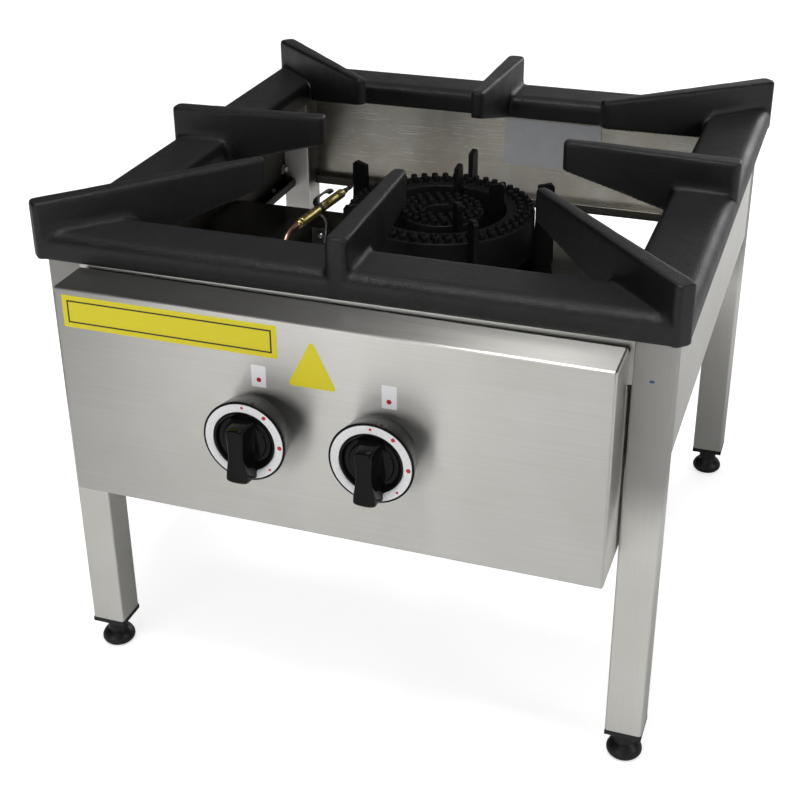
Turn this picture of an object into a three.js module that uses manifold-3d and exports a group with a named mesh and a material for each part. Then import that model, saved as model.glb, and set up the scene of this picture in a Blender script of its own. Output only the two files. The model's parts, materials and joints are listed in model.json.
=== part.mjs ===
// Stock pot range: a low floor-standing gas burner on a square stainless frame. It has a cast iron
// pot grate, a double ring burner, a folded control panel with two gas taps, and levelling feet.
//
// Millimetres, +Z up, +X to the right as seen from the front, +Y to the back. Everything is laid out
// about the middle of the frame at floor level. The whole range is then shifted in Y, so that the
// origin lies on the floor under the middle of its outer box.

import * as THREE from 'three';
import { mergeVertices } from 'three/addons/utils/BufferGeometryUtils.js';
import Module from 'manifold-3d';

const wasm = await Module();
wasm.setup();

// ------------------------------------------------------------------ driving dimensions

const GAP = 0.3; // play kept between pieces that touch or are welded

const FRAME = 500; // outside of the square frame
const TUBE = 30; // square leg tube
const TUBE_WALL = 1.5;
const LEG_BOTTOM = 32;
const FRAME_TOP = 388;
const SHEET = 1.2; // stainless sheet

const PANEL_BOTTOM = 281; // lower edge of the side and rear panels
const FLANGE = 28; // flange that the grate rests on
const HEM = 13; // flange along the lower edge
const LIP = 9; // upturned edge of the hem

const BOX_DEPTH = 45; // how far the control panel stands out in front of the legs
const BOX_BOTTOM = 203;
const BOX_TOP = 382;
const SHIELD_Y = -231; // back of the control box

const KNOB_X = 50; // half the distance between the knobs
const TAP_Z = 295;
const PUSH = 3.5; // travel of a knob when it is pushed in
const KNOB_R = 33;
const DIAL_Y = -325; // face of the dial ring
const SKIRT = 20; // depth of the knob from its rear edge to the dial face
const GRIP = 16; // height of the grip bar over the dial face

const BURNER_TOP = 365.3;
const PLATE_TOP = 311.5; // sheet that carries the burner
const ARM_COUNT = 5; // arms of the burner spider
const ARM_START = 88.5; // degrees, the arm at the back
const RISER_Z = 288; // axis of the mixing tubes
const MIX_R = 10;

const GRATE_BOTTOM = FRAME_TOP + GAP;
const BAR_TOP = 410; // top of the grate's square frame
const BAR_IN = 204;
const BAR_OUT = 256;
const FIN_END = 257; // outer end of the middle fins
const FIN_TOP = 437; // finger top at the outer end of the middle fins
const CORNER_TOP = 435; // the same at the corner fins
const CORNER_END = 256; // outer end of the corner fins, on both axes
const TIP_TOP = 441; // finger top at the inner end
const TIP_DEPTH = 26; // height of a finger's inner end

const HALF = FRAME / 2;
const LEG_IN = HALF - TUBE; // inner faces of the legs
const LEG_MID = HALF - TUBE / 2;
const PANEL_Y = -HALF - BOX_DEPTH; // front face of the control panel
const KNOB_FRONT = DIAL_Y - GRIP;
const GRATE_BACK = 260.2; // furthest point of the rear corner fins
const SHIFT = -(KNOB_FRONT + GRATE_BACK) / 2; // moves the middle of the outer box to the origin

// ------------------------------------------------------------------ finishes

function finish(color, roughness, metalness) {
  return new THREE.MeshStandardMaterial({ color, roughness, metalness });
}

const STEEL = finish(0xb9b7b0, 0.35, 1.0);
const IRON = finish(0x232323, 0.7, 0.3);
const BURNER_IRON = finish(0x161616, 0.75, 0.3);
const BLACK_PLASTIC = finish(0x0c0c0d, 0.2, 0.0);
const FOOT_PLASTIC = finish(0x111112, 0.5, 0.0);
const DIAL_WHITE = finish(0xf0f0f0, 0.35, 0.0);
const BRASS = finish(0xc9a84c, 0.35, 1.0);
const COPPER = finish(0xb9704f, 0.35, 1.0);
const ZINC = finish(0x8d8f90, 0.45, 1.0);
const LABEL = finish(0xb4b6b8, 0.5, 0.2);

// ------------------------------------------------------------------ geometry helpers

// One closed mesh on shared vertices, facing out, without the flat triangles at a lathe's poles.
function closed(geometry) {
  const bare = geometry.clone();
  for (const name of Object.keys(bare.attributes)) {
    if (name !== 'position') bare.deleteAttribute(name);
  }
  const merged = mergeVertices(bare, 1e-4);
  const at = merged.attributes.position;
  const index = merged.index.array;
  const kept = [];
  let volume = 0;
  const [a, b, c] = [new THREE.Vector3(), new THREE.Vector3(), new THREE.Vector3()];
  for (let i = 0; i < index.length; i += 3) {
    const [p, q, r] = [index[i], index[i + 1], index[i + 2]];
    if (p === q || q === r || r === p) continue;
    a.fromBufferAttribute(at, p);
    b.fromBufferAttribute(at, q);
    c.fromBufferAttribute(at, r);
    volume += a.dot(b.cross(c));
    kept.push(p, q, r);
  }
  if (volume < 0) {
    for (let i = 0; i < kept.length; i += 3) {
      [kept[i + 1], kept[i + 2]] = [kept[i + 2], kept[i + 1]];
    }
  }
  merged.setIndex(kept);
  return merged;
}

function solid(geometry) {
  const mesh = closed(geometry);
  const vertProperties = new Float32Array(mesh.attributes.position.array);
  const triVerts = new Uint32Array(mesh.index.array);
  return new wasm.Manifold(new wasm.Mesh({ numProp: 3, vertProperties, triVerts }));
}

function surface(body) {
  const mesh = body.getMesh();
  const geometry = new THREE.BufferGeometry();
  geometry.setAttribute('position', new THREE.BufferAttribute(new Float32Array(mesh.vertProperties), 3));
  geometry.setIndex(new THREE.BufferAttribute(new Uint32Array(mesh.triVerts), 1));
  return geometry;
}

// First geometry, joined with the others.
function joined(first, ...others) {
  return surface(others.reduce((body, other) => body.add(solid(other)), solid(first)));
}

// First geometry, with the others cut out of it.
function cut(first, ...tools) {
  return surface(tools.reduce((body, tool) => body.subtract(solid(tool)), solid(first)));
}

function box([x0, x1], [y0, y1], [z0, z1]) {
  const geometry = new THREE.BoxGeometry(x1 - x0, y1 - y0, z1 - z0);
  return geometry.translate((x0 + x1) / 2, (y0 + y1) / 2, (z0 + z1) / 2);
}

// Turned piece about the Z axis. The profile lists [radius, height].
function turned(profile, sides = 32) {
  const points = profile.map(([r, z]) => new THREE.Vector2(r, z));
  return new THREE.LatheGeometry(points, sides).rotateX(Math.PI / 2);
}

// Turned piece about a line along Y, at x and z. The profile lists [radius, y].
function turnedAlongY(profile, x, z, sides = 32) {
  const points = profile.map(([r, y]) => new THREE.Vector2(r, y));
  return new THREE.LatheGeometry(points, sides).translate(x, 0, z);
}

// Ring of rectangular section about the Z axis, between two radii.
function washer(inner, outer, z0, z1, sides = 32) {
  return turned([[inner, z0], [outer, z0], [outer, z1], [inner, z1], [inner, z0]], sides);
}

function disc(radius, z0, z1, sides = 32) {
  return turned([[0, z0], [radius, z0], [radius, z1], [0, z1]], sides);
}

function roundShape(radius, bore = 0, sides = 16) {
  const circle = (r) => Array.from({ length: sides }, (_, i) => {
    const turn = (2 * Math.PI * i) / sides;
    return new THREE.Vector2(r * Math.cos(turn), r * Math.sin(turn));
  });
  const shape = new THREE.Shape(circle(radius));
  if (bore > 0) shape.holes.push(new THREE.Path(circle(bore)));
  return shape;
}

// Round bar or tube along a smooth line through the given points.
function piped(points, radius, bore, steps, sides = 16) {
  const line = new THREE.CatmullRomCurve3(points.map((p) => new THREE.Vector3(...p)), false, 'centripetal');
  const options = { steps, extrudePath: line, bevelEnabled: false };
  return new THREE.ExtrudeGeometry(roundShape(radius, bore, sides), options);
}

// Sheet of thickness SHEET folded along a line of [across, up] corners, extruded along its length.
// The corners are the outline's, listed right round the section.
function folded(outline, length) {
  const shape = new THREE.Shape(outline.map(([u, v]) => new THREE.Vector2(u, v)));
  const sheet = new THREE.ExtrudeGeometry(shape, { depth: length, bevelEnabled: false });
  return sheet.translate(0, 0, -length / 2);
}

// Closed body through rings of points, each ring with the same number of points, with flat ends.
function lofted(rings) {
  const count = rings[0].length;
  const index = [];
  for (let k = 0; k < rings.length - 1; k += 1) {
    for (let i = 0; i < count; i += 1) {
      const [a, b] = [k * count + i, k * count + ((i + 1) % count)];
      index.push(a, b, b + count, a, b + count, a + count);
    }
  }
  const last = (rings.length - 1) * count;
  for (let i = 1; i < count - 1; i += 1) {
    index.push(0, i + 1, i);
    index.push(last, last + i, last + i + 1);
  }
  const geometry = new THREE.BufferGeometry();
  geometry.setAttribute('position', new THREE.Float32BufferAttribute(rings.flat(2), 3));
  geometry.setIndex(index);
  return geometry;
}

// Closed body through rings of points that join up with the first ring again.
function loftedRound(rings) {
  const count = rings[0].length;
  const index = [];
  rings.forEach((_, k) => {
    const next = ((k + 1) % rings.length) * count;
    for (let i = 0; i < count; i += 1) {
      const j = (i + 1) % count;
      index.push(k * count + i, k * count + j, next + j);
      index.push(k * count + i, next + j, next + i);
    }
  });
  const geometry = new THREE.BufferGeometry();
  geometry.setAttribute('position', new THREE.Float32BufferAttribute(rings.flat(2), 3));
  geometry.setIndex(index);
  return geometry;
}

const radians = THREE.MathUtils.degToRad;
const around = (radius, degrees) => [radius * Math.cos(radians(degrees)), radius * Math.sin(radians(degrees))];

// ------------------------------------------------------------------ the range

const range = new THREE.Group();
range.position.y = SHIFT;

function add(name, geometry, material, place = [0, 0, 0], turn = [0, 0, 0]) {
  const mesh = new THREE.Mesh(closed(geometry), material);
  mesh.name = name;
  mesh.position.set(...place);
  mesh.rotation.set(...turn);
  range.add(mesh);
  return mesh;
}

const CORNERS = [
  ['front_left', -1, -1],
  ['front_right', 1, -1],
  ['rear_left', -1, 1],
  ['rear_right', 1, 1],
];

// Square leg tubes with a moulded plug in the lower end, and a screw foot in each plug.

function squareShape(side, round) {
  const h = side / 2;
  const shape = new THREE.Shape();
  shape.moveTo(h, -h + round);
  shape.lineTo(h, h - round);
  shape.absarc(h - round, h - round, round, 0, Math.PI / 2);
  shape.absarc(-h + round, h - round, round, Math.PI / 2, Math.PI);
  shape.absarc(-h + round, -h + round, round, Math.PI, 1.5 * Math.PI);
  shape.absarc(h - round, -h + round, round, 1.5 * Math.PI, 2 * Math.PI);
  return shape;
}

function legTube() {
  const shape = squareShape(TUBE, 2);
  shape.holes.push(squareShape(TUBE - 2 * TUBE_WALL, 0.6));
  const options = { depth: FRAME_TOP - LEG_BOTTOM, bevelEnabled: false, curveSegments: 2 };
  return new THREE.ExtrudeGeometry(shape, options);
}

const PLUG_FLANGE = 4.2;
const STUD_R = 4;
const FOOT_NECK_TOP = LEG_BOTTOM - GAP - PLUG_FLANGE - GAP;

function legPlug() {
  const inside = TUBE / 2 - TUBE_WALL - GAP;
  const rim = box([-TUBE / 2, TUBE / 2], [-TUBE / 2, TUBE / 2], [0, PLUG_FLANGE]);
  const body = box([-inside, inside], [-inside, inside], [PLUG_FLANGE - 0.5, 22]);
  return cut(joined(rim, body), disc(STUD_R + GAP, -1, 23, 20));
}

function screwFoot() {
  return turned([
    [0, 0], [10.5, 0], [13.4, 1.8], [14.8, 4.6], [14.6, 7], [12.8, 10.6], [9.6, 13.4], [8.6, 15],
    [8.6, FOOT_NECK_TOP], [STUD_R, FOOT_NECK_TOP], [STUD_R, 47], [3.2, 48], [0, 48],
  ], 20);
}

for (const [corner, sx, sy] of CORNERS) {
  const place = [sx * LEG_MID, sy * LEG_MID];
  add(`leg_${corner}`, legTube(), STEEL, [...place, LEG_BOTTOM]);
  add(`leg_plug_${corner}`, legPlug(), FOOT_PLASTIC, [...place, LEG_BOTTOM - GAP - PLUG_FLANGE]);
  add(`foot_${corner}`, screwFoot(), FOOT_PLASTIC, [...place, 0]);
}

// Folded side and rear panels, welded between the legs. Each has a top flange that the grate rests
// on, and a hem with an upturned lip along its lower edge.

const PANEL_LENGTH = 2 * (LEG_IN - GAP);

function framePanel() {
  const t = SHEET;
  return folded([
    [0, FRAME_TOP], [-FLANGE, FRAME_TOP], [-FLANGE, FRAME_TOP - t], [-t, FRAME_TOP - t],
    [-t, PANEL_BOTTOM + t], [-HEM + t, PANEL_BOTTOM + t], [-HEM + t, PANEL_BOTTOM + LIP],
    [-HEM, PANEL_BOTTOM + LIP], [-HEM, PANEL_BOTTOM], [0, PANEL_BOTTOM],
  ], PANEL_LENGTH).rotateX(Math.PI / 2);
}

add('side_panel_right', framePanel(), STEEL, [HALF, 0, 0]);
add('side_panel_left', framePanel(), STEEL, [-HALF, 0, 0], [0, 0, Math.PI]);
add('rear_panel', framePanel(), STEEL, [0, HALF, 0], [0, 0, Math.PI / 2]);

// Rail under the front bar of the grate, between the front legs.

const FRONT_RAIL_BOTTOM = 350;

function frontRail() {
  const t = SHEET;
  return folded([
    [0, FRAME_TOP], [-FLANGE, FRAME_TOP], [-FLANGE, FRAME_TOP - t], [-t, FRAME_TOP - t],
    [-t, FRONT_RAIL_BOTTOM], [0, FRONT_RAIL_BOTTOM],
  ], PANEL_LENGTH).rotateX(Math.PI / 2);
}

add('front_rail', frontRail(), STEEL, [0, -HALF, 0], [0, 0, -Math.PI / 2]);

// Control panel: a folded box, open at the back. Its top flange ends at the front rail, and its
// sides and bottom run back between the legs.

const BOX_HALF = LEG_IN - 0.8;
const BOX_REAR = SHIELD_Y - 1;

function controlPanel() {
  const t = SHEET;
  const shell = box([-BOX_HALF, BOX_HALF], [PANEL_Y, BOX_REAR], [BOX_BOTTOM, BOX_TOP]);
  const hollow = box([t - BOX_HALF, BOX_HALF - t], [PANEL_Y + t, 0], [BOX_BOTTOM + t, BOX_TOP - t]);
  const behindRail = box([-FRAME, FRAME], [-HALF - GAP, 0], [FRONT_RAIL_BOTTOM - 2, FRAME]);
  const holes = [-KNOB_X, KNOB_X].map((x) => {
    const hole = turnedAlongY([[0, PANEL_Y - 1], [6, PANEL_Y - 1], [6, PANEL_Y + 3], [0, PANEL_Y + 3]], x, TAP_Z);
    return hole;
  });
  return cut(shell, hollow, behindRail, ...holes);
}

add('control_panel', controlPanel(), STEEL);

// Heat shield that closes the back of the control box. The jets, the gas inlet and the pilot pipe
// pass through it.

const SHIELD_TOP = 347;
const INLET_X = 190;
const MANIFOLD_Z = 257.5;
const PILOT_HOLE = [-78, 300];

function heatShield() {
  const t = SHEET;
  const half = BOX_HALF - t - 1;
  const sheet = folded([
    [SHIELD_Y, BOX_BOTTOM + t + 0.5], [SHIELD_Y + t, BOX_BOTTOM + t + 0.5],
    [SHIELD_Y + t, SHIELD_TOP - t], [SHIELD_Y + 14, SHIELD_TOP - t],
    [SHIELD_Y + 14, SHIELD_TOP], [SHIELD_Y, SHIELD_TOP],
  ], 2 * half).rotateX(Math.PI / 2).rotateZ(Math.PI / 2);
  // the outline's first axis now runs along +Y, and the sheet's length along X
  const hole = (x, z, r) => turnedAlongY([[0, SHIELD_Y - 2], [r, SHIELD_Y - 2], [r, SHIELD_Y + 4], [0, SHIELD_Y + 4]], x, z);
  return cut(
    sheet,
    hole(-KNOB_X, RISER_Z, 12),
    hole(KNOB_X, RISER_Z, 12),
    hole(INLET_X, MANIFOLD_Z, 13),
    hole(...PILOT_HOLE, 5),
  );
}

add('heat_shield', heatShield(), STEEL);

// Gas train: a manifold pipe with its inlet elbow, two brass taps on it, and a jet behind each tap.

const MANIFOLD_Y = -268;
const MANIFOLD_R = 10;
const MANIFOLD_LEFT = -112;
const MANIFOLD_RIGHT = 165;
const TAP_BACK = -246;

function alongX(profile, y, z, sides = 24) {
  const points = profile.map(([r, x]) => new THREE.Vector2(r, x));
  return new THREE.LatheGeometry(points, sides).rotateZ(-Math.PI / 2).translate(0, y, z);
}

function gasManifold() {
  const [left, right] = [MANIFOLD_LEFT, MANIFOLD_RIGHT];
  return alongX([
    [0, left], [MANIFOLD_R, left], [MANIFOLD_R, right], [MANIFOLD_R - 2, right],
    [MANIFOLD_R - 2, left + 3], [0, left + 3],
  ], MANIFOLD_Y, MANIFOLD_Z);
}

function gasInlet() {
  const [x0, y0] = [MANIFOLD_RIGHT + GAP, MANIFOLD_Y];
  const elbow = piped([
    [x0, y0, MANIFOLD_Z], [x0 + 8, y0, MANIFOLD_Z], [INLET_X - 5, y0 + 6, MANIFOLD_Z],
    [INLET_X, y0 + 17, MANIFOLD_Z], [INLET_X, -206, MANIFOLD_Z],
  ], MANIFOLD_R, MANIFOLD_R - 2.5, 10, 12);
  const nut = new THREE.CylinderGeometry(14, 14, 9, 6).translate(INLET_X, -216, MANIFOLD_Z);
  const bore = new THREE.CylinderGeometry(MANIFOLD_R - 2.4, MANIFOLD_R - 2.4, 20, 16);
  return joined(elbow, cut(nut, bore.translate(INLET_X, -216, MANIFOLD_Z)));
}

function gasTap(x) {
  const barrel = turnedAlongY([
    [0, -256], [13, -256], [13, -284], [8, -285], [8, -291], [0, -291],
  ], x, TAP_Z, 28);
  const back = turnedAlongY([[0, TAP_BACK], [9.5, TAP_BACK], [9.5, -260], [0, -260]], x, RISER_Z, 20);
  const web = box([x - 7, x + 7], [-279, -257], [MANIFOLD_Z + MANIFOLD_R + GAP, TAP_Z]);
  const spindleBore = turnedAlongY([[0, -292], [STUD_R + GAP, -292], [STUD_R + GAP, -265], [0, -265]], x, TAP_Z, 16);
  return cut(joined(barrel, back, web), spindleBore);
}

function jet(x) {
  return turnedAlongY([
    [1, TAP_BACK + GAP], [7, TAP_BACK + GAP], [7, -238], [4.5, -237], [4.5, -214], [3, -211], [1, -211], [1, TAP_BACK + GAP],
  ], x, RISER_Z, 12);
}

function spindle(x) {
  return turnedAlongY([
    [0, -270], [STUD_R, -270], [STUD_R, -316.5], [3.4, -317], [0, -317],
  ], x, TAP_Z, 16);
}

add('gas_manifold', gasManifold(), ZINC);
add('gas_inlet', gasInlet(), BRASS);

// Knobs: a skirt with a hub round the spindle, a dial ring let into its face, and a grip bar whose
// lower end is the pointer. The ring is open where the pointer's wedge reaches the rim.

const RING_OUT = 31.6;
const RING_IN = 24.9;
const WEDGE = 23.4; // distance of the wedge's straight sides from the axis

// Outline of the dial ring, grown by a margin: the outer circle round to the opening, then back
// along the wedge's sides and the inner circle.
function ringShape(grow = 0) {
  const [inner, outer, side] = [RING_IN - grow, RING_OUT + grow, WEDGE - grow];
  const start = -Math.PI / 4 - Math.acos(side / outer);
  const turn = -Math.PI / 4 + Math.acos(side / inner);
  const shape = new THREE.Shape();
  shape.absarc(0, 0, outer, start, Math.PI - start, false);
  shape.absarc(0, 0, inner, Math.PI - turn, turn, true);
  shape.closePath();
  return shape;
}

function ringSlab(grow, z0, z1) {
  const options = { depth: z1 - z0, bevelEnabled: false, curveSegments: 18 };
  return new THREE.ExtrudeGeometry(ringShape(grow), options).translate(0, 0, z0);
}

// Level line of the grip bar: its upper and lower ends, and its half widths from top to pointer.
function gripLine(z, [top, end], [upper, middle, lower]) {
  const right = [
    [upper * 0.5, top], [upper * 0.9, top - 1], [upper, top - 3], [middle, 0],
    [lower, end + 7], [lower * 0.85, end + 2.5], [lower * 0.4, end],
  ];
  const left = [...right].reverse().map(([x, y]) => [-x, y]);
  return [...right, ...left].map(([x, y]) => [x, y, z]);
}

function gripBar() {
  return lofted([
    gripLine(SKIRT - 2, [19, -30], [7.5, 7, 6]),
    gripLine(SKIRT + 4, [18.5, -29], [6, 5.4, 6.2]),
    gripLine(SKIRT + GRIP - 1, [18, -25.5], [5.2, 5.2, 6.8]),
    gripLine(SKIRT + GRIP, [17, -24.5], [4.6, 4.6, 6]),
  ]);
}

function knobBody() {
  const base = turned([
    [0, 13], [STUD_R + GAP, 13], [STUD_R + GAP, -5], [8, -5], [8, 13.5], [26, 14.5], [26, 2],
    [28, 0], [29.5, 0], [32.8, 18], [KNOB_R, 18.6], [KNOB_R, SKIRT - 0.3], [KNOB_R - 0.3, SKIRT],
    [RING_IN - 0.4, SKIRT], [RING_IN - 0.8, SKIRT + 0.7], [21.5, SKIRT + 0.5], [20.5, SKIRT - 1.3],
    [0, SKIRT - 1.5],
  ], 32);
  return joined(cut(base, ringSlab(0.3, SKIRT - 1, SKIRT + 1)), gripBar());
}

// A turned piece stands along +Z. This turn points +Z at the user and keeps +Y up.
const FACING_USER = [Math.PI / 2, 0, 0];

for (const [side, sx] of [['left', -1], ['right', 1]]) {
  const x = sx * KNOB_X;
  add(`tap_${side}`, gasTap(x), BRASS);
  add(`jet_${side}`, jet(x), BRASS);
  add(`spindle_${side}`, spindle(x), ZINC);
  const place = [x, DIAL_Y + SKIRT, TAP_Z];
  add(`knob_${side}`, knobBody(), BLACK_PLASTIC, place, FACING_USER);
  add(`dial_ring_${side}`, ringSlab(0, SKIRT - 0.7, SKIRT), DIAL_WHITE, place, FACING_USER);
}

for (const [side, x] of [['left', -90], ['right', 120]]) {
  const strap = joined(
    box([x - 8, x + 8], [MANIFOLD_Y - 12, MANIFOLD_Y + 12], [BOX_BOTTOM + SHEET + GAP, BOX_BOTTOM + SHEET + GAP + 2]),
    box([x - 8, x + 8], [MANIFOLD_Y - 12, MANIFOLD_Y - 10], [BOX_BOTTOM + SHEET + GAP, MANIFOLD_Z - MANIFOLD_R - GAP]),
    box([x - 8, x + 8], [MANIFOLD_Y - 12, MANIFOLD_Y + 8], [MANIFOLD_Z - MANIFOLD_R - GAP - 2, MANIFOLD_Z - MANIFOLD_R - GAP]),
  );
  add(`manifold_bracket_${side}`, strap, ZINC);
}

// Sheet that carries the burner across the frame, on an angle welded inside each side panel.

const PLATE_HALF = 90;
const PLATE_SKIRT = 9;
const INLET_R = 13; // holes that the risers come up through
const OUTER_IN = 58.5; // outer burner ring
const OUTER_OUT = 83;
const INNER_IN = 15; // inner burner ring
const INNER_OUT = 39;
const OUTER_RISER = around((OUTER_IN + OUTER_OUT) / 2, ARM_START + 1.5 * 72);
const INNER_RISER = around((INNER_IN + INNER_OUT) / 2, ARM_START - 1.5 * 72);

function burnerPlate() {
  const t = SHEET;
  const [low, high] = [PLATE_TOP - PLATE_SKIRT, PLATE_TOP];
  const sheet = folded([
    [-PLATE_HALF, low], [t - PLATE_HALF, low], [t - PLATE_HALF, high - t], [PLATE_HALF - t, high - t],
    [PLATE_HALF - t, low], [PLATE_HALF, low], [PLATE_HALF, high], [-PLATE_HALF, high],
  ], 2 * (HALF - SHEET - 2)).rotateX(Math.PI / 2).rotateZ(Math.PI / 2);
  const hole = ([x, y]) => disc(INLET_R, high - 5, high + 5, 24).translate(x, y, 0);
  const middle = disc(9, high - 5, high + 5, 20);
  return cut(sheet, hole(OUTER_RISER), hole(INNER_RISER), middle);
}

function plateAngle() {
  const [t, z] = [1.7, PLATE_TOP - SHEET - GAP];
  return folded([
    [HALF - SHEET - GAP, z], [HALF - 24, z], [HALF - 24, z - t], [HALF - SHEET - GAP - t, z - t],
    [HALF - SHEET - GAP - t, z - 16], [HALF - SHEET - GAP, z - 16],
  ], 2 * (PLATE_HALF - SHEET - 1)).rotateX(Math.PI / 2);
}

add('burner_plate', burnerPlate(), STEEL);
add('plate_angle_right', plateAngle(), STEEL);
add('plate_angle_left', plateAngle(), STEEL, [0, 0, 0], [0, 0, Math.PI]);

// Cast spider that carries both rings. Each arm is a radial plate with two horns: one stands
// between the rings and one outside the outer ring.

const SPIDER_BOTTOM = PLATE_TOP + GAP;
const ARM_TOP = 327.5;
const HORN_TOP = 389.5;
const ARM_THICK = 4.5;
const HORNS = [[41, 57], [84, 102]]; // radii of each arm's horns

function burnerSpider() {
  const arm = new THREE.Shape();
  const [inner, outer] = HORNS;
  arm.moveTo(10, SPIDER_BOTTOM);
  arm.lineTo(outer[1] - 2, SPIDER_BOTTOM);
  arm.lineTo(outer[1], SPIDER_BOTTOM + 4);
  arm.lineTo(outer[1] - 1, HORN_TOP - 3);
  arm.lineTo(outer[1] - 4, HORN_TOP);
  arm.lineTo(outer[0] + 2, HORN_TOP - 2);
  arm.lineTo(outer[0], ARM_TOP);
  arm.lineTo(inner[1], ARM_TOP);
  arm.lineTo(inner[1] - 1, HORN_TOP - 2);
  arm.lineTo(inner[1] - 3, HORN_TOP);
  arm.lineTo(inner[0] + 2, HORN_TOP - 2);
  arm.lineTo(inner[0], ARM_TOP);
  arm.lineTo(10, ARM_TOP);
  const plate = new THREE.ExtrudeGeometry(arm, { depth: ARM_THICK, bevelEnabled: false });
  plate.translate(0, 0, -ARM_THICK / 2).rotateX(Math.PI / 2);
  const arms = Array.from({ length: ARM_COUNT }, (_, i) => (
    plate.clone().rotateZ(radians(ARM_START + (360 / ARM_COUNT) * i))
  ));
  return joined(washer(8, 16, SPIDER_BOTTOM, ARM_TOP, 20), ...arms);
}

add('burner_spider', burnerSpider(), BURNER_IRON);

// Burner rings: castings with rows of studs on top, and a shallow seat below for the riser.

const RING_BOTTOM = ARM_TOP + GAP;
const STUD_HEIGHT = 4.5;
const RISER_SEAT = 3; // depth of the riser's seat in a ring

function studRow(radius, count, top) {
  return Array.from({ length: count }, (_, i) => {
    const [x, y] = around(radius, (360 / count) * (i + 0.5));
    const stud = new THREE.CylinderGeometry(1.9, 2.3, STUD_HEIGHT + 0.5, 5, 1).rotateX(Math.PI / 2);
    return stud.translate(x, y, top + STUD_HEIGHT / 2 - 0.25);
  });
}

function burnerRing(inner, outer, top, riser, rows) {
  const body = turned([
    [inner, RING_BOTTOM], [outer - 2, RING_BOTTOM], [outer, RING_BOTTOM + 3], [outer, top - 1], [outer - 1, top],
    [inner + 1, top], [inner, top - 1], [inner, RING_BOTTOM],
  ], 44);
  const seat = disc(MIX_R - 2, RING_BOTTOM - 1, RING_BOTTOM + RISER_SEAT, 16).translate(...riser, 0);
  const studs = rows.flatMap(([radius, count]) => studRow(radius, count, top));
  return joined(cut(body, seat), ...studs);
}

add('outer_burner_ring', burnerRing(
  OUTER_IN, OUTER_OUT, BURNER_TOP, OUTER_RISER, [[79.2, 50], [70.6, 44]],
), BURNER_IRON);
add('inner_burner_ring', burnerRing(
  INNER_IN, INNER_OUT, BURNER_TOP - 2, INNER_RISER, [[35.5, 24], [26.5, 18]],
), BURNER_IRON);

// Mixing tubes: a bell mouth behind each jet, a run back under the plate, and a riser to its ring.
// An air shutter turns on each mouth.

const MOUTH_FRONT = -224;
const MOUTH_BACK = -204;
const MOUTH_R = 16;

function airWindows(x, inner, outer, y0, y1) {
  return [45, 135, 225, 315].map((degrees) => {
    const [dx, dz] = around((inner + outer) / 2, degrees);
    const window = new THREE.BoxGeometry(9, y1 - y0, 9).rotateY(-radians(degrees));
    return window.translate(x + dx, (y0 + y1) / 2, RISER_Z + dz);
  });
}

function mixingTube(x, riser, riserTop) {
  const [rx, ry] = riser;
  const mouth = turnedAlongY([
    [9, MOUTH_FRONT], [MOUTH_R, MOUTH_FRONT], [MOUTH_R, MOUTH_BACK], [MIX_R + 1, -188], [MIX_R - 2, -188],
    [MIX_R - 2, -190], [MOUTH_R - 2, MOUTH_BACK - 1], [MOUTH_R - 2, MOUTH_FRONT + 2], [9, MOUTH_FRONT + 2], [9, MOUTH_FRONT],
  ], x, RISER_Z, 24);
  const bend = 22;
  const run = piped([
    [x, -190, RISER_Z], [x, -175, RISER_Z], [x, -160, RISER_Z],
    [x + (rx - x) * 0.5, (ry - bend - 160) / 2, RISER_Z],
    [rx, ry - bend - 18, RISER_Z], [rx, ry - bend, RISER_Z], [rx, ry - bend * 0.29, RISER_Z + bend * 0.29],
    [rx, ry, RISER_Z + bend], [rx, ry, RISER_Z + bend + 6], [rx, ry, riserTop],
  ], MIX_R, MIX_R - 2, 24, 10);
  const windows = airWindows(x, MOUTH_R - 3, MOUTH_R + 1, -218, -209);
  return cut(joined(mouth, run), ...windows);
}

function airShutter(x) {
  const sleeve = turnedAlongY([
    [MOUTH_R + 0.4, -221], [MOUTH_R + 2, -221], [MOUTH_R + 2, -206], [MOUTH_R + 0.4, -206], [MOUTH_R + 0.4, -221],
  ], x, RISER_Z, 24);
  return cut(sleeve, ...airWindows(x, MOUTH_R - 1, MOUTH_R + 3, -218, -209));
}

add('outer_mixing_tube', mixingTube(-KNOB_X, OUTER_RISER, RING_BOTTOM - GAP), IRON);
add('inner_mixing_tube', mixingTube(KNOB_X, INNER_RISER, RING_BOTTOM - GAP), IRON);
add('air_shutter_left', airShutter(-KNOB_X), ZINC);
add('air_shutter_right', airShutter(KNOB_X), ZINC);

// Pilot burner: a brass body held level beside the outer ring, its steel tip, the copper pipe from
// the left tap, a spring clip over the body, and the rod that carries it on a small bracket.

const PILOT_Z = 375;
const PILOT_R = 3.2;
const WAIST = 41; // distance of the groove from the pipe end of the body
const PILOT_START = new THREE.Vector3(-97.5, -99, PILOT_Z);
const PILOT_STOP = new THREE.Vector3(-88.8, -13, PILOT_Z);
const PILOT_LENGTH = PILOT_START.distanceTo(PILOT_STOP);
const PILOT_ALONG = PILOT_STOP.clone().sub(PILOT_START).normalize();
const PILOT_LEAN = Math.atan2(PILOT_ALONG.x, PILOT_ALONG.y);
const along = (distance) => PILOT_START.clone().addScaledVector(PILOT_ALONG, distance);

// Turned about the pilot's line. The profile lists [radius, distance from the pipe end].
function pilotTurned(profile, sides) {
  return turned(profile, sides).rotateX(-Math.PI / 2).rotateZ(-PILOT_LEAN).translate(...PILOT_START);
}

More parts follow.
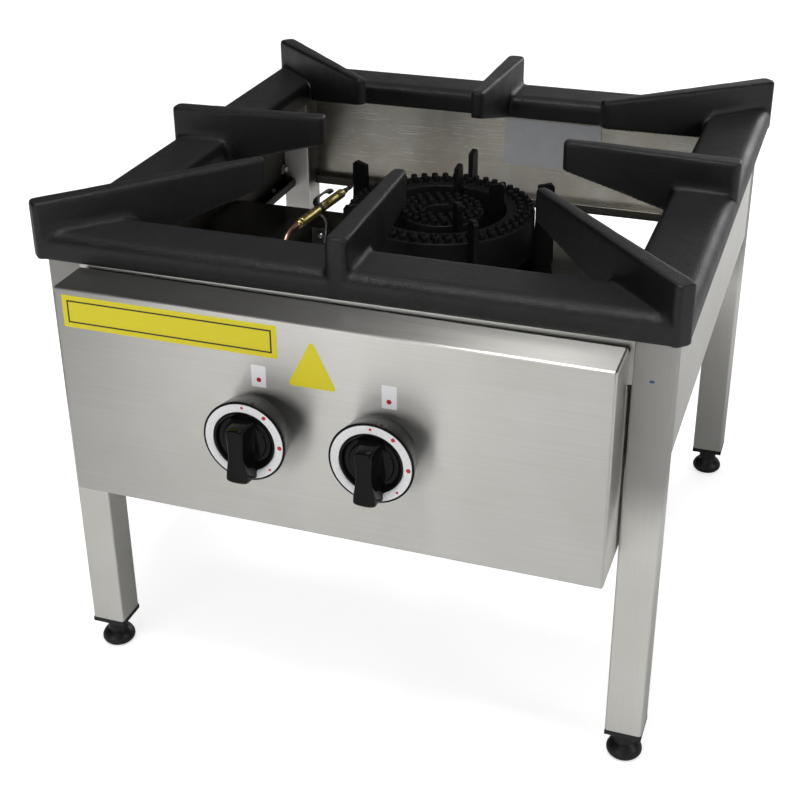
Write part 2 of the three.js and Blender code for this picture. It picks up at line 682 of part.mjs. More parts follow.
add('pilot_body', pilotTurned([
  [0, 0], [2.4, 0], [PILOT_R, 1.5], [PILOT_R, WAIST - 2], [2.4, WAIST - 1], [2.4, WAIST + 1],
  [PILOT_R, WAIST + 2], [PILOT_R, PILOT_LENGTH - 2], [2.4, PILOT_LENGTH], [0, PILOT_LENGTH],
], 18), BRASS);
add('pilot_tip', pilotTurned([
  [0, PILOT_LENGTH + GAP], [2, PILOT_LENGTH + GAP], [2, PILOT_LENGTH + 16], [1.2, PILOT_LENGTH + 20],
  [0, PILOT_LENGTH + 20],
], 12), IRON);
add('pilot_pipe', piped([
  along(-GAP).toArray(), along(-16).toArray(), along(-30).add(new THREE.Vector3(0, 0, -5)).toArray(),
  [-99, -150, 352], [-94, -180, 322], [-84, -205, 304], [PILOT_HOLE[0], SHIELD_Y, PILOT_HOLE[1]],
  [-79, -248, 298], [-79, -263, 296], [-74, MANIFOLD_Y, TAP_Z], [-63.4, MANIFOLD_Y, TAP_Z],
], 2, 0, 30, 8), COPPER);

// Open ring with a raised tail, clipped round the brass body.
function pilotClip() {
  const [inner, outer] = [PILOT_R + 0.35, PILOT_R + 1.3];
  const ring = cut(washer(inner, outer, WAIST - 6, WAIST + 1, 18), box([0, 9], [-2, 2], [WAIST - 7, WAIST + 2]));
  const tail = lofted([
    [-outer - 1, WAIST - 4], [-outer - 3.2, WAIST + 12], [-outer - 3.2, WAIST + 26], [-inner - 1.2, WAIST + 31],
  ].map(([x, z]) => [[x, -2.5, z], [x + 1.2, -2.5, z], [x + 1.2, 2.5, z], [x, 2.5, z]]));
  const clip = joined(ring, tail).rotateZ(Math.PI / 4).rotateX(-Math.PI / 2);
  return clip.rotateZ(-PILOT_LEAN).translate(...PILOT_START);
}

add('pilot_clip', pilotClip(), IRON);
add('pilot_rod', piped([
  [-93.6, -62.5, PILOT_Z - PILOT_R - 1.9], [-91.2, -62, 368], [-88.4, -61.5, 361],
  [-88.4, -61.5, 354], [-89.4, -61.5, 348], [-90, -61.5, 340],
], 1, 0, 14, 6), ZINC);

const BRACKET_Y = -60;
add('pilot_bracket', joined(
  box([-101, -86], [BRACKET_Y, BRACKET_Y + 1.6], [SPIDER_BOTTOM, 357]),
  box([-101, -86], [BRACKET_Y, BRACKET_Y + 16], [SPIDER_BOTTOM, SPIDER_BOTTOM + 1.6]),
), IRON);
add('pilot_screw', turnedAlongY([
  [0, BRACKET_Y - GAP], [3.4, BRACKET_Y - GAP], [3.4, BRACKET_Y - 1.4], [2, BRACKET_Y - 2.4], [0, BRACKET_Y - 2.4],
], -94.5, 350.5, 12), ZINC);

// Blank rating plate inside the rear panel.

const PLATE_BACK = HALF - SHEET - GAP;
add('rating_plate', box([-8, 94], [PLATE_BACK - 0.8, PLATE_BACK], [323, 373]), LABEL);

// Pot grate: one casting. A square frame of channel section carries four middle fingers and four
// corner fingers.

const CHANNEL_IN = 211;
const CHANNEL_OUT = 240;
const CHANNEL_TOP = 402;
const FIN_THICK = 18; // finger thickness at the outer end

// Square loop of a section of [half width, height] points. The corners are cut off, and the outer
// wall swells a little towards them.
const SWELL = 4;
const STRAIGHT = 140;

function squareLoop(section) {
  const side = section.map(([u, z]) => {
    const share = Math.max(0, (u - CHANNEL_OUT) / (BAR_OUT - CHANNEL_OUT));
    const out = u + SWELL * share;
    const corner = out - 4 - (9 * (u - BAR_IN)) / (BAR_OUT - BAR_IN);
    return [[out, -corner, z], [u, -STRAIGHT, z], [u, STRAIGHT, z], [out, corner, z]];
  });
  return loftedRound(side.map((points) => [0, 1, 2, 3].flatMap((quarter) => points.map(([x, y, z]) => {
    const [cos, sin] = [[1, 0], [0, 1], [-1, 0], [0, -1]][quarter];
    return [x * cos - y * sin, x * sin + y * cos, z];
  }))));
}

function grateFrame() {
  return squareLoop([
    [BAR_IN, GRATE_BOTTOM], [BAR_IN, 401], [BAR_IN + 3, 407], [BAR_IN + 9, BAR_TOP],
    [BAR_OUT - 8, BAR_TOP], [BAR_OUT - 2.5, 407.5], [BAR_OUT, 402], [BAR_OUT, GRATE_BOTTOM],
    [CHANNEL_OUT, GRATE_BOTTOM], [CHANNEL_OUT, CHANNEL_TOP], [CHANNEL_IN, CHANNEL_TOP],
    [CHANNEL_IN, GRATE_BOTTOM],
  ]);
}

// Finger along a radius. Its thickness tapers from the outer end to the inner tip, and its underside
// rises from the frame's inner face to the tip.
function finger(degrees, { end, top, tip, tipThick, face }) {
  const share = (r) => (r - tip) / (end - tip);
  const mix = THREE.MathUtils.lerp;
  const clamp = THREE.MathUtils.clamp;
  const edge = 1.8;
  const stations = [
    [end, 0.5], [end - 1.4, 0.82], [end - 5, 1], [face, 1], [tip + 4, 1], [tip + 1, 0.85], [tip, 0.6],
  ];
  const rings = stations.map(([r, full]) => {
    const half = (mix(tipThick, FIN_THICK, share(r)) / 2) * full;
    const high = mix(TIP_TOP, top, share(r));
    const low = mix(GRATE_BOTTOM, TIP_TOP - TIP_DEPTH, clamp((face - r) / (face - tip), 0, 1));
    return [
      [r, -half, low], [r, half, low], [r, half, high - edge],
      [r, half - edge, high], [r, edge - half, high], [r, -half, high - edge],
    ];
  });
  return lofted(rings).rotateZ(radians(degrees));
}

function potGrate() {
  const middle = { end: FIN_END, top: FIN_TOP, tip: 110, tipThick: 12.5, face: BAR_IN };
  const corner = {
    end: CORNER_END * Math.SQRT2, top: CORNER_TOP, tip: 167, tipThick: 10.5, face: (BAR_IN - 2) * Math.SQRT2,
  };
  const fingers = [0, 90, 180, 270].flatMap((a) => [finger(a, middle), finger(a + 45, corner)]);
  return joined(grateFrame(), ...fingers);
}

add('pot_grate', potGrate(), IRON);

export default range;
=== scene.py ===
# %% [markdown]
# # A stock pot range
#
# This lesson dresses the CAD model of a low gas range for big stock pots: a square frame of
# brushed stainless steel, a loose cast iron grate, a double ring burner, a small pilot burner
# and two gas knobs. The CAD model is the skeleton. It comes in first and is never moved, and
# every piece made here rides on one of its bodies, so that the knobs still turn and the grate
# still lifts off.

# %% Load the CAD model
import json
import math

import bmesh
import bpy
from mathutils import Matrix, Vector


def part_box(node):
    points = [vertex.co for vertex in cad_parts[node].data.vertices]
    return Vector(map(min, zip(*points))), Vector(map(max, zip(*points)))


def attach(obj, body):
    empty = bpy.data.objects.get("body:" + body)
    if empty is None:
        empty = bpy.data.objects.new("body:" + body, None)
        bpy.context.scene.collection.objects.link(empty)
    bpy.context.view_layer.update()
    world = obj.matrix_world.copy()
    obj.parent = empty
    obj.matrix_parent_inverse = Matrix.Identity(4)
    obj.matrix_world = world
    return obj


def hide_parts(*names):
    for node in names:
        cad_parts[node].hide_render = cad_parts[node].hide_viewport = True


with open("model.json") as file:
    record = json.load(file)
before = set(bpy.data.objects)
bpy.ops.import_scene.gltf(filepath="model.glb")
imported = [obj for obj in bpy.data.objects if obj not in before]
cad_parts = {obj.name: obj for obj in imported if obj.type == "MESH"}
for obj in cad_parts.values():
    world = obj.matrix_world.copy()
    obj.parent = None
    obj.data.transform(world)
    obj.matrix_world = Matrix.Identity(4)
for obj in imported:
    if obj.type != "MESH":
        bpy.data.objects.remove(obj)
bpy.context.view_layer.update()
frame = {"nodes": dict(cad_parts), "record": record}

print("nodes:", len(frame["nodes"]))

# %% [markdown]
# ## Units and places
#
# The range was drawn in millimetres about the middle of its square frame, while Blender works
# in metres about the middle of the whole object, knobs included. One small function turns the
# first into the second. The distance between the two middles is measured on the legs and not
# typed in, so it follows the CAD model.

# %% Places in millimetres
MM = 0.001
MIDDLE_Y = (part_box("leg_front_left")[0].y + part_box("leg_rear_left")[1].y) / 2


def spot(x, y, z):
    """A point given in millimetres about the middle of the square frame, at floor level."""
    return Vector((x * MM, y * MM + MIDDLE_Y, z * MM))


print(f"the frame's middle lies {MIDDLE_Y / MM:.1f} mm behind the origin")

# %% [markdown]
# ## The camera
#
# The picture was taken from the front right and above, with a long lens. The camera's angles
# come from fitting the frame's straight edges: which way it heads, how far it looks down and
# how much it is rolled. A small shift of the lens puts the range where the picture has it.

# %% Set up the camera
HEADING, TILT, ROLL = -0.339, -0.475, -0.01  # radians
LENS, SENSOR = 64.30, 36.0                    # millimetres
SHIFT_X, SHIFT_Y = 0.0066, -0.0531
CAMERA_PLACE = (0.3595, -1.1080, 0.8333)      # metres
look = Vector((math.sin(HEADING) * math.cos(TILT), math.cos(HEADING) * math.cos(TILT), math.sin(TILT)))
level = Vector((math.cos(HEADING), -math.sin(HEADING), 0))
upright = level.cross(look)
side = level * math.cos(ROLL) + upright * math.sin(ROLL)
top = upright * math.cos(ROLL) - level * math.sin(ROLL)

camera_data = bpy.data.cameras.new("picture_camera")
camera_data.sensor_width = SENSOR
camera_data.lens = LENS
camera_data.shift_x, camera_data.shift_y = SHIFT_X, SHIFT_Y
camera = bpy.data.objects.new("picture_camera", camera_data)
bpy.context.scene.collection.objects.link(camera)
placed = camera.matrix_world.copy()
for column, axis in enumerate((side, top, -look)):
    for row in range(3):
        placed[row][column] = axis[row]
placed.translation = Vector(CAMERA_PLACE)
camera.matrix_world = placed
bpy.context.scene.camera = camera
bpy.context.scene.view_settings.view_transform = "Standard"
print("camera at", tuple(round(v, 3) for v in placed.translation))

# %% [markdown]
# ## Helpers for materials
#
# Each finish is a Principled shader with a few textures on it. A texture is a noise that is
# stretched or shrunk to the size of the real grain, and it then changes the colour, the
# roughness or the bumps. The wiring is the same each time, so short functions do it: `grain`
# makes the noise, and `vary`, `tint` and `bumps` put it to work. The numbers that are the same
# all over a surface are set on the shader itself.

# %% Material helpers
def new_finish(name, colour, roughness, metallic=0.0, **settings):
    """A Principled material with its plain numbers set."""
    finish = bpy.data.materials.new(name)
    finish.use_nodes = True
    shader = finish.node_tree.nodes["Principled BSDF"]
    shader.inputs["Base Color"].default_value = (*colour, 1)
    shader.inputs["Roughness"].default_value = roughness
    shader.inputs["Metallic"].default_value = metallic
    for socket, value in settings.items():
        shader.inputs[socket.replace("_", " ")].default_value = value
    return finish


def shader_of(finish):
    return finish.node_tree.nodes["Principled BSDF"]


def node_of(owner, kind, **settings):
    """A new node in the tree of a material or of the world."""
    node = owner.node_tree.nodes.new(kind)
    for key, value in settings.items():
        setattr(node, key, value)
    return node


def axis_of(owner, coordinate, axis):
    """One axis, X, Y or Z, of a coordinate such as Object, Normal or Generated."""
    place = node_of(owner, "ShaderNodeTexCoord")
    parts = node_of(owner, "ShaderNodeSeparateXYZ")
    owner.node_tree.links.new(place.outputs[coordinate], parts.inputs["Vector"])
    return parts.outputs[axis]


def ranged(owner, signal, low, high, at_low=0.0, at_high=1.0, ease="LINEAR"):
    """The signal's stretch from low to high, laid onto at_low to at_high."""
    node = node_of(owner, "ShaderNodeMapRange", interpolation_type=ease)
    for name, value in zip(("From Min", "From Max", "To Min", "To Max"), (low, high, at_low, at_high)):
        node.inputs[name].default_value = value
    owner.node_tree.links.new(signal, node.inputs["Value"])
    return node.outputs["Result"]


def times(owner, one, other):
    """Two signals multiplied."""
    node = node_of(owner, "ShaderNodeMath", operation="MULTIPLY")
    owner.node_tree.links.new(one, node.inputs[0])
    owner.node_tree.links.new(other, node.inputs[1])
    return node.outputs[0]


def grain(finish, sizes, detail=2.0, rough=0.5, shift=0.0):
    """Noise whose spots are about sizes (x, y, z) in millimetres, in the object's own space."""
    links = finish.node_tree.links
    place = node_of(finish, "ShaderNodeTexCoord")
    mapping = node_of(finish, "ShaderNodeMapping")
    mapping.inputs["Scale"].default_value = [1000.0 / s for s in sizes]
    mapping.inputs["Location"].default_value = (shift, shift * 0.7, shift * 1.3)
    texture = node_of(finish, "ShaderNodeTexNoise")
    texture.inputs["Scale"].default_value = 1.0
    texture.inputs["Detail"].default_value = detail
    texture.inputs["Roughness"].default_value = rough
    links.new(place.outputs["Object"], mapping.inputs["Vector"])
    links.new(mapping.outputs["Vector"], texture.inputs["Vector"])
    return texture.outputs["Fac"]


def vary(finish, signal, socket, low, high, span=(0.3, 0.7)):
    """The signal moves a number of the shader between low and high."""
    finish.node_tree.links.new(ranged(finish, signal, *span, low, high), shader_of(finish).inputs[socket])


def tint(finish, signal, *stops, base=None):
    """The signal picks a colour from stops of (position, colour), on top of a base colour."""
    ramp = node_of(finish, "ShaderNodeValToRGB")
    elements = ramp.color_ramp.elements
    while len(elements) < len(stops):
        elements.new(0.5)
    for element, (position, colour) in zip(elements, stops):
        element.position = position
        element.color = (*colour, 1)
    finish.node_tree.links.new(signal, ramp.inputs["Fac"])
    colour = ramp.outputs["Color"]
    if base is not None:
        blend = node_of(finish, "ShaderNodeMix", data_type="RGBA", blend_type="MULTIPLY")
        blend.inputs["Factor"].default_value = 1.0
        finish.node_tree.links.new(base, blend.inputs["A"])
        finish.node_tree.links.new(colour, blend.inputs["B"])
        colour = blend.outputs["Result"]
    finish.node_tree.links.new(colour, shader_of(finish).inputs["Base Color"])
    return colour


def bumps(finish, *layers):
    """Bumps from (signal, height in millimetres) layers, one on top of the other."""
    before = None
    for signal, rise in layers:
        bump = node_of(finish, "ShaderNodeBump")
        bump.inputs["Strength"].default_value = 1.0
        bump.inputs["Distance"].default_value = rise * MM
        finish.node_tree.links.new(signal, bump.inputs["Height"])
        if before:
            finish.node_tree.links.new(before, bump.inputs["Normal"])
        before = bump.outputs["Normal"]
    finish.node_tree.links.new(before, shader_of(finish).inputs["Normal"])


# %% [markdown]
# ## Brushed stainless steel
#
# The sheets were brushed before they were bent, which leaves fine lines along the sheet, and
# the tubes were polished lengthwise. The lines are noise that is stretched a hundred times
# longer than it is wide, and the reflections are stretched across them, which is what makes
# steel look brushed. A broad, faint cloudiness on top is what handling leaves.
#
# The legs are painted darker towards the top: painted shade, for the shade and dark reflections
# under the grate. The side sheets are painted dark inside, darker towards the bottom, also as
# painted shade. Painting that by hand would need a picture. A signal that rises with the height
# over the floor does the same with two numbers.

# %% Steel helpers
STEEL_LIGHT, STEEL_DARK = (0.68, 0.675, 0.65), (0.59, 0.58, 0.55)
TUBE_LIGHT, TUBE_DARK = (0.76, 0.755, 0.725), (0.70, 0.69, 0.65)
SHEET_ROUGH, TUBE_ROUGH = (0.34, 0.43), (0.34, 0.42)


def lie_along(steel, direction):
    """Turns the stretched reflections so that they stand across the brush lines."""
    line = node_of(steel, "ShaderNodeCombineXYZ")
    for socket, value in zip(line.inputs, direction):
        socket.default_value = value
    aim = node_of(steel, "ShaderNodeVectorTransform", vector_type="VECTOR",
                  convert_from="OBJECT", convert_to="WORLD")
    steel.node_tree.links.new(line.outputs["Vector"], aim.inputs["Vector"])
    steel.node_tree.links.new(aim.outputs["Vector"], shader_of(steel).inputs["Tangent"])


def height(finish, low, high):
    """A signal that rises from 0 to 1 between two heights over the floor, in millimetres."""
    return ranged(finish, axis_of(finish, "Object", "Z"), low * MM, high * MM, ease="SMOOTHSTEP")


def brushed_steel(name, sizes, roughness=SHEET_ROUGH, dark=STEEL_DARK, light=STEEL_LIGHT,
                  shade=(0.93, 0.925, 0.91), line_height=0.003, cloud=110, streak=0.9, painted_shade=None):
    """Steel with brush lines of these sizes. The last argument is (low, high, colour below, colour above):
    painted shade that changes with the height.
    """
    steel = new_finish(name, light, roughness[0], metallic=1.0, Anisotropic=streak,
                       Anisotropic_Rotation=0.25)
    lie_along(steel, [float(size == max(sizes)) for size in sizes])
    lines = grain(steel, sizes, detail=3.0, rough=0.7)
    clouds = grain(steel, (cloud, cloud, cloud), detail=3.0, rough=0.55, shift=4.2)
    vary(steel, lines, "Roughness", *roughness, span=(0.25, 0.75))
    brushed = tint(steel, lines, (0.28, dark), (0.72, light))
    colour = tint(steel, clouds, (0.35, shade), (0.65, (1.0, 1.0, 1.0)), base=brushed)
    # painted shade: the colour darkens with the height, standing in for shade
    if painted_shade:
        low, high, below, above = painted_shade
        tint(steel, height(steel, low, high), (0, below), (1, above), base=colour)
    bumps(steel, (lines, line_height))
    return steel


# %% [markdown]
# Four steels cover the outside and the legs. They differ in the direction of their lines, and
# the legs' inner faces are painted dark at the top: painted shade. The other four are stained
# ones: the warm rear sheet inside, the cross sheet that is nearly a mirror, the side sheets
# inside, painted dark as shade, and the hems and angles, painted near black, which on the hems
# is painted shade.

# %% Eight steels
LONG, FINE = 120, 0.45  # millimetres, along and across a brush line
# the last three colours are painted shade for the height signal: the legs' tops, the tops of their inward
# faces, and the side sheets inside towards the bottom
CLEAN, TOP_SHADE, INNER_TOP_SHADE, LOW_SHADE = (1.0, 1.0, 1.0), (0.52, 0.515, 0.52), (0.08, 0.078, 0.072), (0.35, 0.34, 0.32)
WORN_LONG, WORN_FINE, STAIN = 70, 1.2, 45  # lines that are half worn off, and the stains on them

steel_across = brushed_steel("steel_brushed_across", (LONG, FINE, FINE))
steel_back = brushed_steel("steel_brushed_back", (FINE, LONG, FINE))
# the legs are painted darker above 222 mm: painted shade
steel_tall = brushed_steel("steel_brushed_tall", (FINE, FINE, LONG), TUBE_ROUGH, TUBE_DARK, TUBE_LIGHT,
                           painted_shade=(222, 275, CLEAN, TOP_SHADE))
# the legs' inward faces are painted dark above 272 mm: painted shade
steel_tall_painted_shade = brushed_steel("steel_tall_painted_shade", (FINE, FINE, LONG), TUBE_ROUGH, TUBE_DARK,
                                  TUBE_LIGHT, painted_shade=(272, 290, CLEAN, INNER_TOP_SHADE))
steel_inside = brushed_steel("steel_inside", (WORN_LONG, WORN_FINE, WORN_FINE), (0.22, 0.42),
                             (0.57, 0.55, 0.50), (0.64, 0.62, 0.57),
                             shade=(0.80, 0.77, 0.71), line_height=0.002, cloud=STAIN)
steel_mirror = brushed_steel("steel_mirror", (90, 1.0, 1.0), (0.1, 0.16),
                             (0.40, 0.39, 0.37), (0.46, 0.45, 0.43), line_height=0.001, streak=0.4)
# near black steel: painted shade on the hems; the angles under the cross sheet take it too
steel_shade_black = brushed_steel("steel_shade_black", (WORN_FINE, WORN_LONG, WORN_FINE), (0.3, 0.5),
                            (0.030, 0.028, 0.024), (0.055, 0.052, 0.046),
                            shade=(0.7, 0.68, 0.64), line_height=0.002, cloud=STAIN)
# painted shade: the side sheets inside are dark, and darker still below 285 mm
steel_side_painted_shade = brushed_steel("steel_side_painted_shade", (WORN_FINE, WORN_LONG, WORN_FINE), (0.3, 0.5),
                                  (0.10, 0.095, 0.085), (0.15, 0.145, 0.13),
                                  shade=(0.75, 0.73, 0.68), line_height=0.002, cloud=STAIN,
                                  painted_shade=(285, 335, LOW_SHADE, CLEAN))
print("steels:", ", ".join(m.name for m in bpy.data.materials if m.name.startswith("steel_")))

# %% [markdown]
# ## Cast iron, plastics and the small metals
#
# The grate is sand cast and painted matt black: a fine pebbled skin, with wider uneven patches
# under it. Its tops are painted greyer than its sides: painted light, for the light from the lamps
# above. A signal from the direction in which a face looks keeps the two apart. The burner has the
# same skin, but darker and drier, and its studs are darker still.

# %% Iron
PATCH, PATCH_DEPTH = 26, 0.5  # millimetres


def upward(finish):
    """A signal that is 1 on faces that look up and 0 on the sides."""
    return ranged(finish, axis_of(finish, "Normal", "Z"), 0.72, 0.96, ease="SMOOTHSTEP")


def cast_iron(name, dark, light, roughness, pebble=1.1, depth=0.16, shine=0.3, sides=None):
    """Iron with a pebbled skin. The colour of the sides is that of the tops times `sides`: painted shade on
    the sides, so that the tops read lighter, as if lit from above.
    """
    iron = new_finish(name, dark, roughness[0], Specular_IOR_Level=shine)
    skin = grain(iron, (pebble, pebble, pebble), detail=4.0, rough=0.7)
    patches = grain(iron, (PATCH, PATCH, PATCH), detail=4.0, rough=0.6, shift=2.1)
    vary(iron, patches, "Roughness", *roughness)
    tops = tint(iron, skin, (0.3, dark), (0.75, light))
    if sides:
        # painted light: the sides are darker than the tops, as light from above would make them
        tint(iron, upward(iron), (0, (sides, sides, sides)), (1, CLEAN), base=tops)
    bumps(iron, (patches, PATCH_DEPTH), (skin, depth))
    return iron


# the grate's tops are painted lighter than its sides: painted light from above
grate_iron = cast_iron("grate_iron", (0.013, 0.013, 0.014), (0.028, 0.028, 0.030), (0.32, 0.44),
                       pebble=1.6, depth=0.45, shine=0.42, sides=0.2)
burner_iron = cast_iron("burner_iron", (0.004, 0.004, 0.004), (0.009, 0.009, 0.0088), (0.36, 0.52),
                        depth=0.25, shine=0.2)
stud_iron = cast_iron("stud_iron", (0.002, 0.002, 0.002), (0.006, 0.006, 0.006), (0.3, 0.5),
                      depth=0.2, shine=0.2)
pressed_iron = cast_iron("pressed_iron", (0.02, 0.02, 0.02), (0.05, 0.048, 0.045), (0.4, 0.6),
                         pebble=0.8, depth=0.05)
print("cast and pressed irons: 4")

# %% [markdown]
# The knobs are glossy moulded plastic and the feet satin, both with a fine skin and faint
# smears from fingers. Brass, copper, zinc and dark steel get turning marks and stains.

# %% Plastics and small metals
def plastic(name, colour, roughness, skin_height, **settings):
    moulded = new_finish(name, colour, roughness[0], **settings)
    skin = grain(moulded, (0.7, 0.7, 0.7), detail=2.0)
    smears = grain(moulded, (14, 14, 14), detail=3.0, shift=1.4)
    vary(moulded, smears, "Roughness", *roughness)
    tint(moulded, skin, (0.2, [c * 0.8 for c in colour]), (0.8, [min(1.0, c * 1.1) for c in colour]))
    bumps(moulded, (skin, skin_height))
    return moulded


knob_plastic = plastic("knob_plastic", (0.004, 0.004, 0.0043), (0.08, 0.16), 0.003, Specular_IOR_Level=0.16)
foot_plastic = plastic("foot_plastic", (0.007, 0.007, 0.0073), (0.32, 0.5), 0.02, Specular_IOR_Level=0.35)
dial_white = plastic("dial_white", (0.84, 0.84, 0.85), (0.3, 0.42), 0.006)
dot_red = plastic("dot_red", (0.50, 0.012, 0.016), (0.3, 0.4), 0.006)


def bare_metal(name, dark, light, roughness, spots=6.0, mark_depth=0.02):
    metal = new_finish(name, light, roughness[0], metallic=1.0)
    stains = grain(metal, (spots, spots, spots), detail=4.0, rough=0.65)
    marks = grain(metal, (0.5, 0.5, 0.5), detail=2.0, shift=3.0)
    vary(metal, stains, "Roughness", *roughness)
    tint(metal, stains, (0.3, dark), (0.7, light))
    bumps(metal, (marks, mark_depth))
    return metal


brass = bare_metal("brass", (0.52, 0.40, 0.12), (0.78, 0.66, 0.27), (0.22, 0.4))
copper = bare_metal("copper", (0.50, 0.25, 0.17), (0.85, 0.52, 0.42), (0.25, 0.42))
zinc = bare_metal("zinc", (0.42, 0.42, 0.41), (0.62, 0.62, 0.61), (0.28, 0.45))
dark_steel = bare_metal("dark_steel", (0.05, 0.05, 0.055), (0.13, 0.13, 0.14), (0.3, 0.5))
foil = bare_metal("plate_foil", (0.50, 0.51, 0.53), (0.58, 0.59, 0.61), (0.45, 0.6), spots=20.0)
shader_of(foil).inputs["Metallic"].default_value = 0.35  # a lacquer over the foil dulls it
print("plastics: 4, small metals: 5")

# %% [markdown]
# ## Finishes for the CAD pieces that stay
#
# Many CAD pieces have the right shape already: the gas train, the shield, the brackets. They
# only need a finish. Three kinds of them show their edges: the spider, the leg plugs and the
# pilot's bracket. These get a narrow bevel further on, because a real edge always catches a
# thin line of light.

# %% Dress the CAD nodes
SLOT_FINISH = {
    "stainless": steel_across, "grate_iron": grate_iron, "burner_iron": burner_iron,
    "black_plastic": knob_plastic, "foot_plastic": foot_plastic, "dial_white": dial_white,
    "brass": brass, "copper": copper, "zinc": zinc, "label": foil,
}
NODE_FINISH = {
    "outer_mixing_tube": pressed_iron, "inner_mixing_tube": pressed_iron,
    "pilot_bracket": pressed_iron, "pilot_clip": dark_steel, "pilot_tip": dark_steel,
    "burner_plate": steel_mirror, "burner_spider": stud_iron,
    # the angles take the near black steel that the hems carry as painted shade
    "plate_angle_left": steel_shade_black, "plate_angle_right": steel_shade_black,
}
slot_of = {part["node"]: part["material_slot"] for part in frame["record"]["subparts"]}


def edge_bevel(piece, width, angle=40, segments=2):
    """A narrow bevel on the sharp edges, with the flat faces left flat."""
    bevel = piece.modifiers.new("edge", "BEVEL")
    bevel.width = width * MM
    bevel.segments = segments
    bevel.limit_method = "ANGLE"
    bevel.angle_limit = math.radians(angle)
    bevel.harden_normals = True
    return bevel


for name, node in frame["nodes"].items():
    finish = NODE_FINISH.get(name) or SLOT_FINISH[slot_of[name]]
    node.data.materials.clear()
    node.data.materials.append(finish)
print("CAD nodes dressed:", len(frame["nodes"]))

# %% [markdown]
# ## Helpers for shapes
#
# Nearly everything on the range is one of three shapes: a profile turned on a lathe, a section
# drawn out along a line, or a sheet folded round a bend. Each helper returns points and faces,
# and `make_piece` turns them into an object, puts it on its body and hides the CAD pieces it
# stands for.

# %% From points and faces to a piece
MERGE = 1e-6  # metres within which two points become one


def object_of(name, shape):
    """An object from (points, faces), with every face turned to look outward."""
    points, faces = shape
    mesh = bpy.data.meshes.new(name)
    mesh.from_pydata([tuple(p) for p in points], [], faces)
    work = bmesh.new()
    work.from_mesh(mesh)
    bmesh.ops.remove_doubles(work, verts=work.verts, dist=MERGE)
    bmesh.ops.recalc_face_normals(work, faces=work.faces)
    work.to_mesh(mesh)
    work.free()
    made = bpy.data.objects.new(name, mesh)
    bpy.context.scene.collection.objects.link(made)
    return made


def make_piece(name, shape, finish, body, slot, *stands_for, smooth=35):
    """One piece from (points, faces), riding on a CAD body and standing for CAD nodes."""
    piece = object_of(name, shape)
    mesh = piece.data
    mesh.materials.append(finish)
    mesh.shade_smooth()
    mesh.set_sharp_from_angle(angle=math.radians(smooth))
    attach(piece, body)
    if stands_for:
        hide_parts(*stands_for)
    return piece


def settled(piece):
    """Turns the piece's modifiers into its own mesh."""
    view = bpy.context.evaluated_depsgraph_get()
    mesh = bpy.data.meshes.new_from_object(piece.evaluated_get(view))
    piece.modifiers.clear()
    piece.data = mesh
    return piece


# %% [markdown]
# A loft is a skin through a row of rings, each with the same number of points. Turned, drawn
# out and piped shapes are all lofts: only the rings differ. Writing the skin once keeps each of
# them down to a few lines.

# %% Lofts: turned, drawn out and piped
def joined(*shapes):
    """Several shapes as one list of points and one of faces."""
    points, faces = [], []
    for more_points, more_faces in shapes:
        first = len(points)
        points += list(more_points)
        faces += [tuple(first + i for i in face) for face in more_faces]
    return points, faces


def lofted(rings, closed=False):
    """Skin through rings of points. Open ends get a flat face, and a closed loft meets itself."""
    count = len(rings[0])
    points = [p for ring in rings for p in ring]
    faces = []
    last = len(rings) if closed else len(rings) - 1
    for k in range(last):
        here, there = k * count, ((k + 1) % len(rings)) * count
        for i in range(count):
            j = (i + 1) % count
            faces.append((here + i, here + j, there + j, there + i))
    if not closed:
        faces.append(tuple(reversed(range(count))))
        faces.append(tuple(range(len(points) - count, len(points))))
    return points, faces


def turned(profile, place, sides=48, closed=False):
    """Profile of (radius, height) turned round. `place` puts (x, y, height) on the range."""
    turns = [2 * math.pi * i / sides for i in range(sides)]
    rings = []
    for radius, level in profile:
        r = max(radius, 0.01)  # a point on the axis is a tiny ring
        rings.append([place(r * math.cos(turn), r * math.sin(turn), level) for turn in turns])
    return lofted(rings, closed)


def drawn_out(outline, place, *stops):
    """The outline drawn out through the stops. `place` puts (u, v, along) on the range."""
    return lofted([[place(p[0], p[1], stop) for p in outline] for stop in stops])


def curve_point(p0, p1, p2, p3, t):
    """A point between p1 and p2 on the smooth curve through all four (Catmull-Rom)."""
    return 0.5 * ((2 * p1) + (p2 - p0) * t + (2 * p0 - 5 * p1 + 4 * p2 - p3) * t * t
                  + (3 * p1 - p0 - 3 * p2 + p3) * t ** 3)


def piped(path, radius, place=spot, sides=12, bends=6):
    """Round rod along a smooth curve through the path's points. The radius may vary along it."""
    knots = [Vector(p) for p in path]
    line = []
    for i in range(len(knots) - 1):
        p0, p1 = knots[max(i - 1, 0)], knots[i]
        p2, p3 = knots[i + 1], knots[min(i + 2, len(knots) - 1)]
        line += [curve_point(p0, p1, p2, p3, k / bends) for k in range(bends)]
    line.append(knots[-1])
    across = (line[1] - line[0]).normalized().orthogonal().normalized()
    turns = [2 * math.pi * k / sides for k in range(sides)]
    rings = []
    for i, p in enumerate(line):
        along = (line[min(i + 1, len(line) - 1)] - line[max(i - 1, 0)]).normalized()
        across = (across - along * across.dot(along)).normalized()
        other = along.cross(across)
        r = radius(i / (len(line) - 1)) if callable(radius) else radius
        rings.append([place(*(p + (across * math.cos(turn) + other * math.sin(turn)) * r)) for turn in turns])
    return lofted(rings)


# %% [markdown]
# A bend in real sheet is never sharp. `softened` sweeps each corner of a drawn line round, and
# `sheet_section` gives the line the thickness of the sheet.

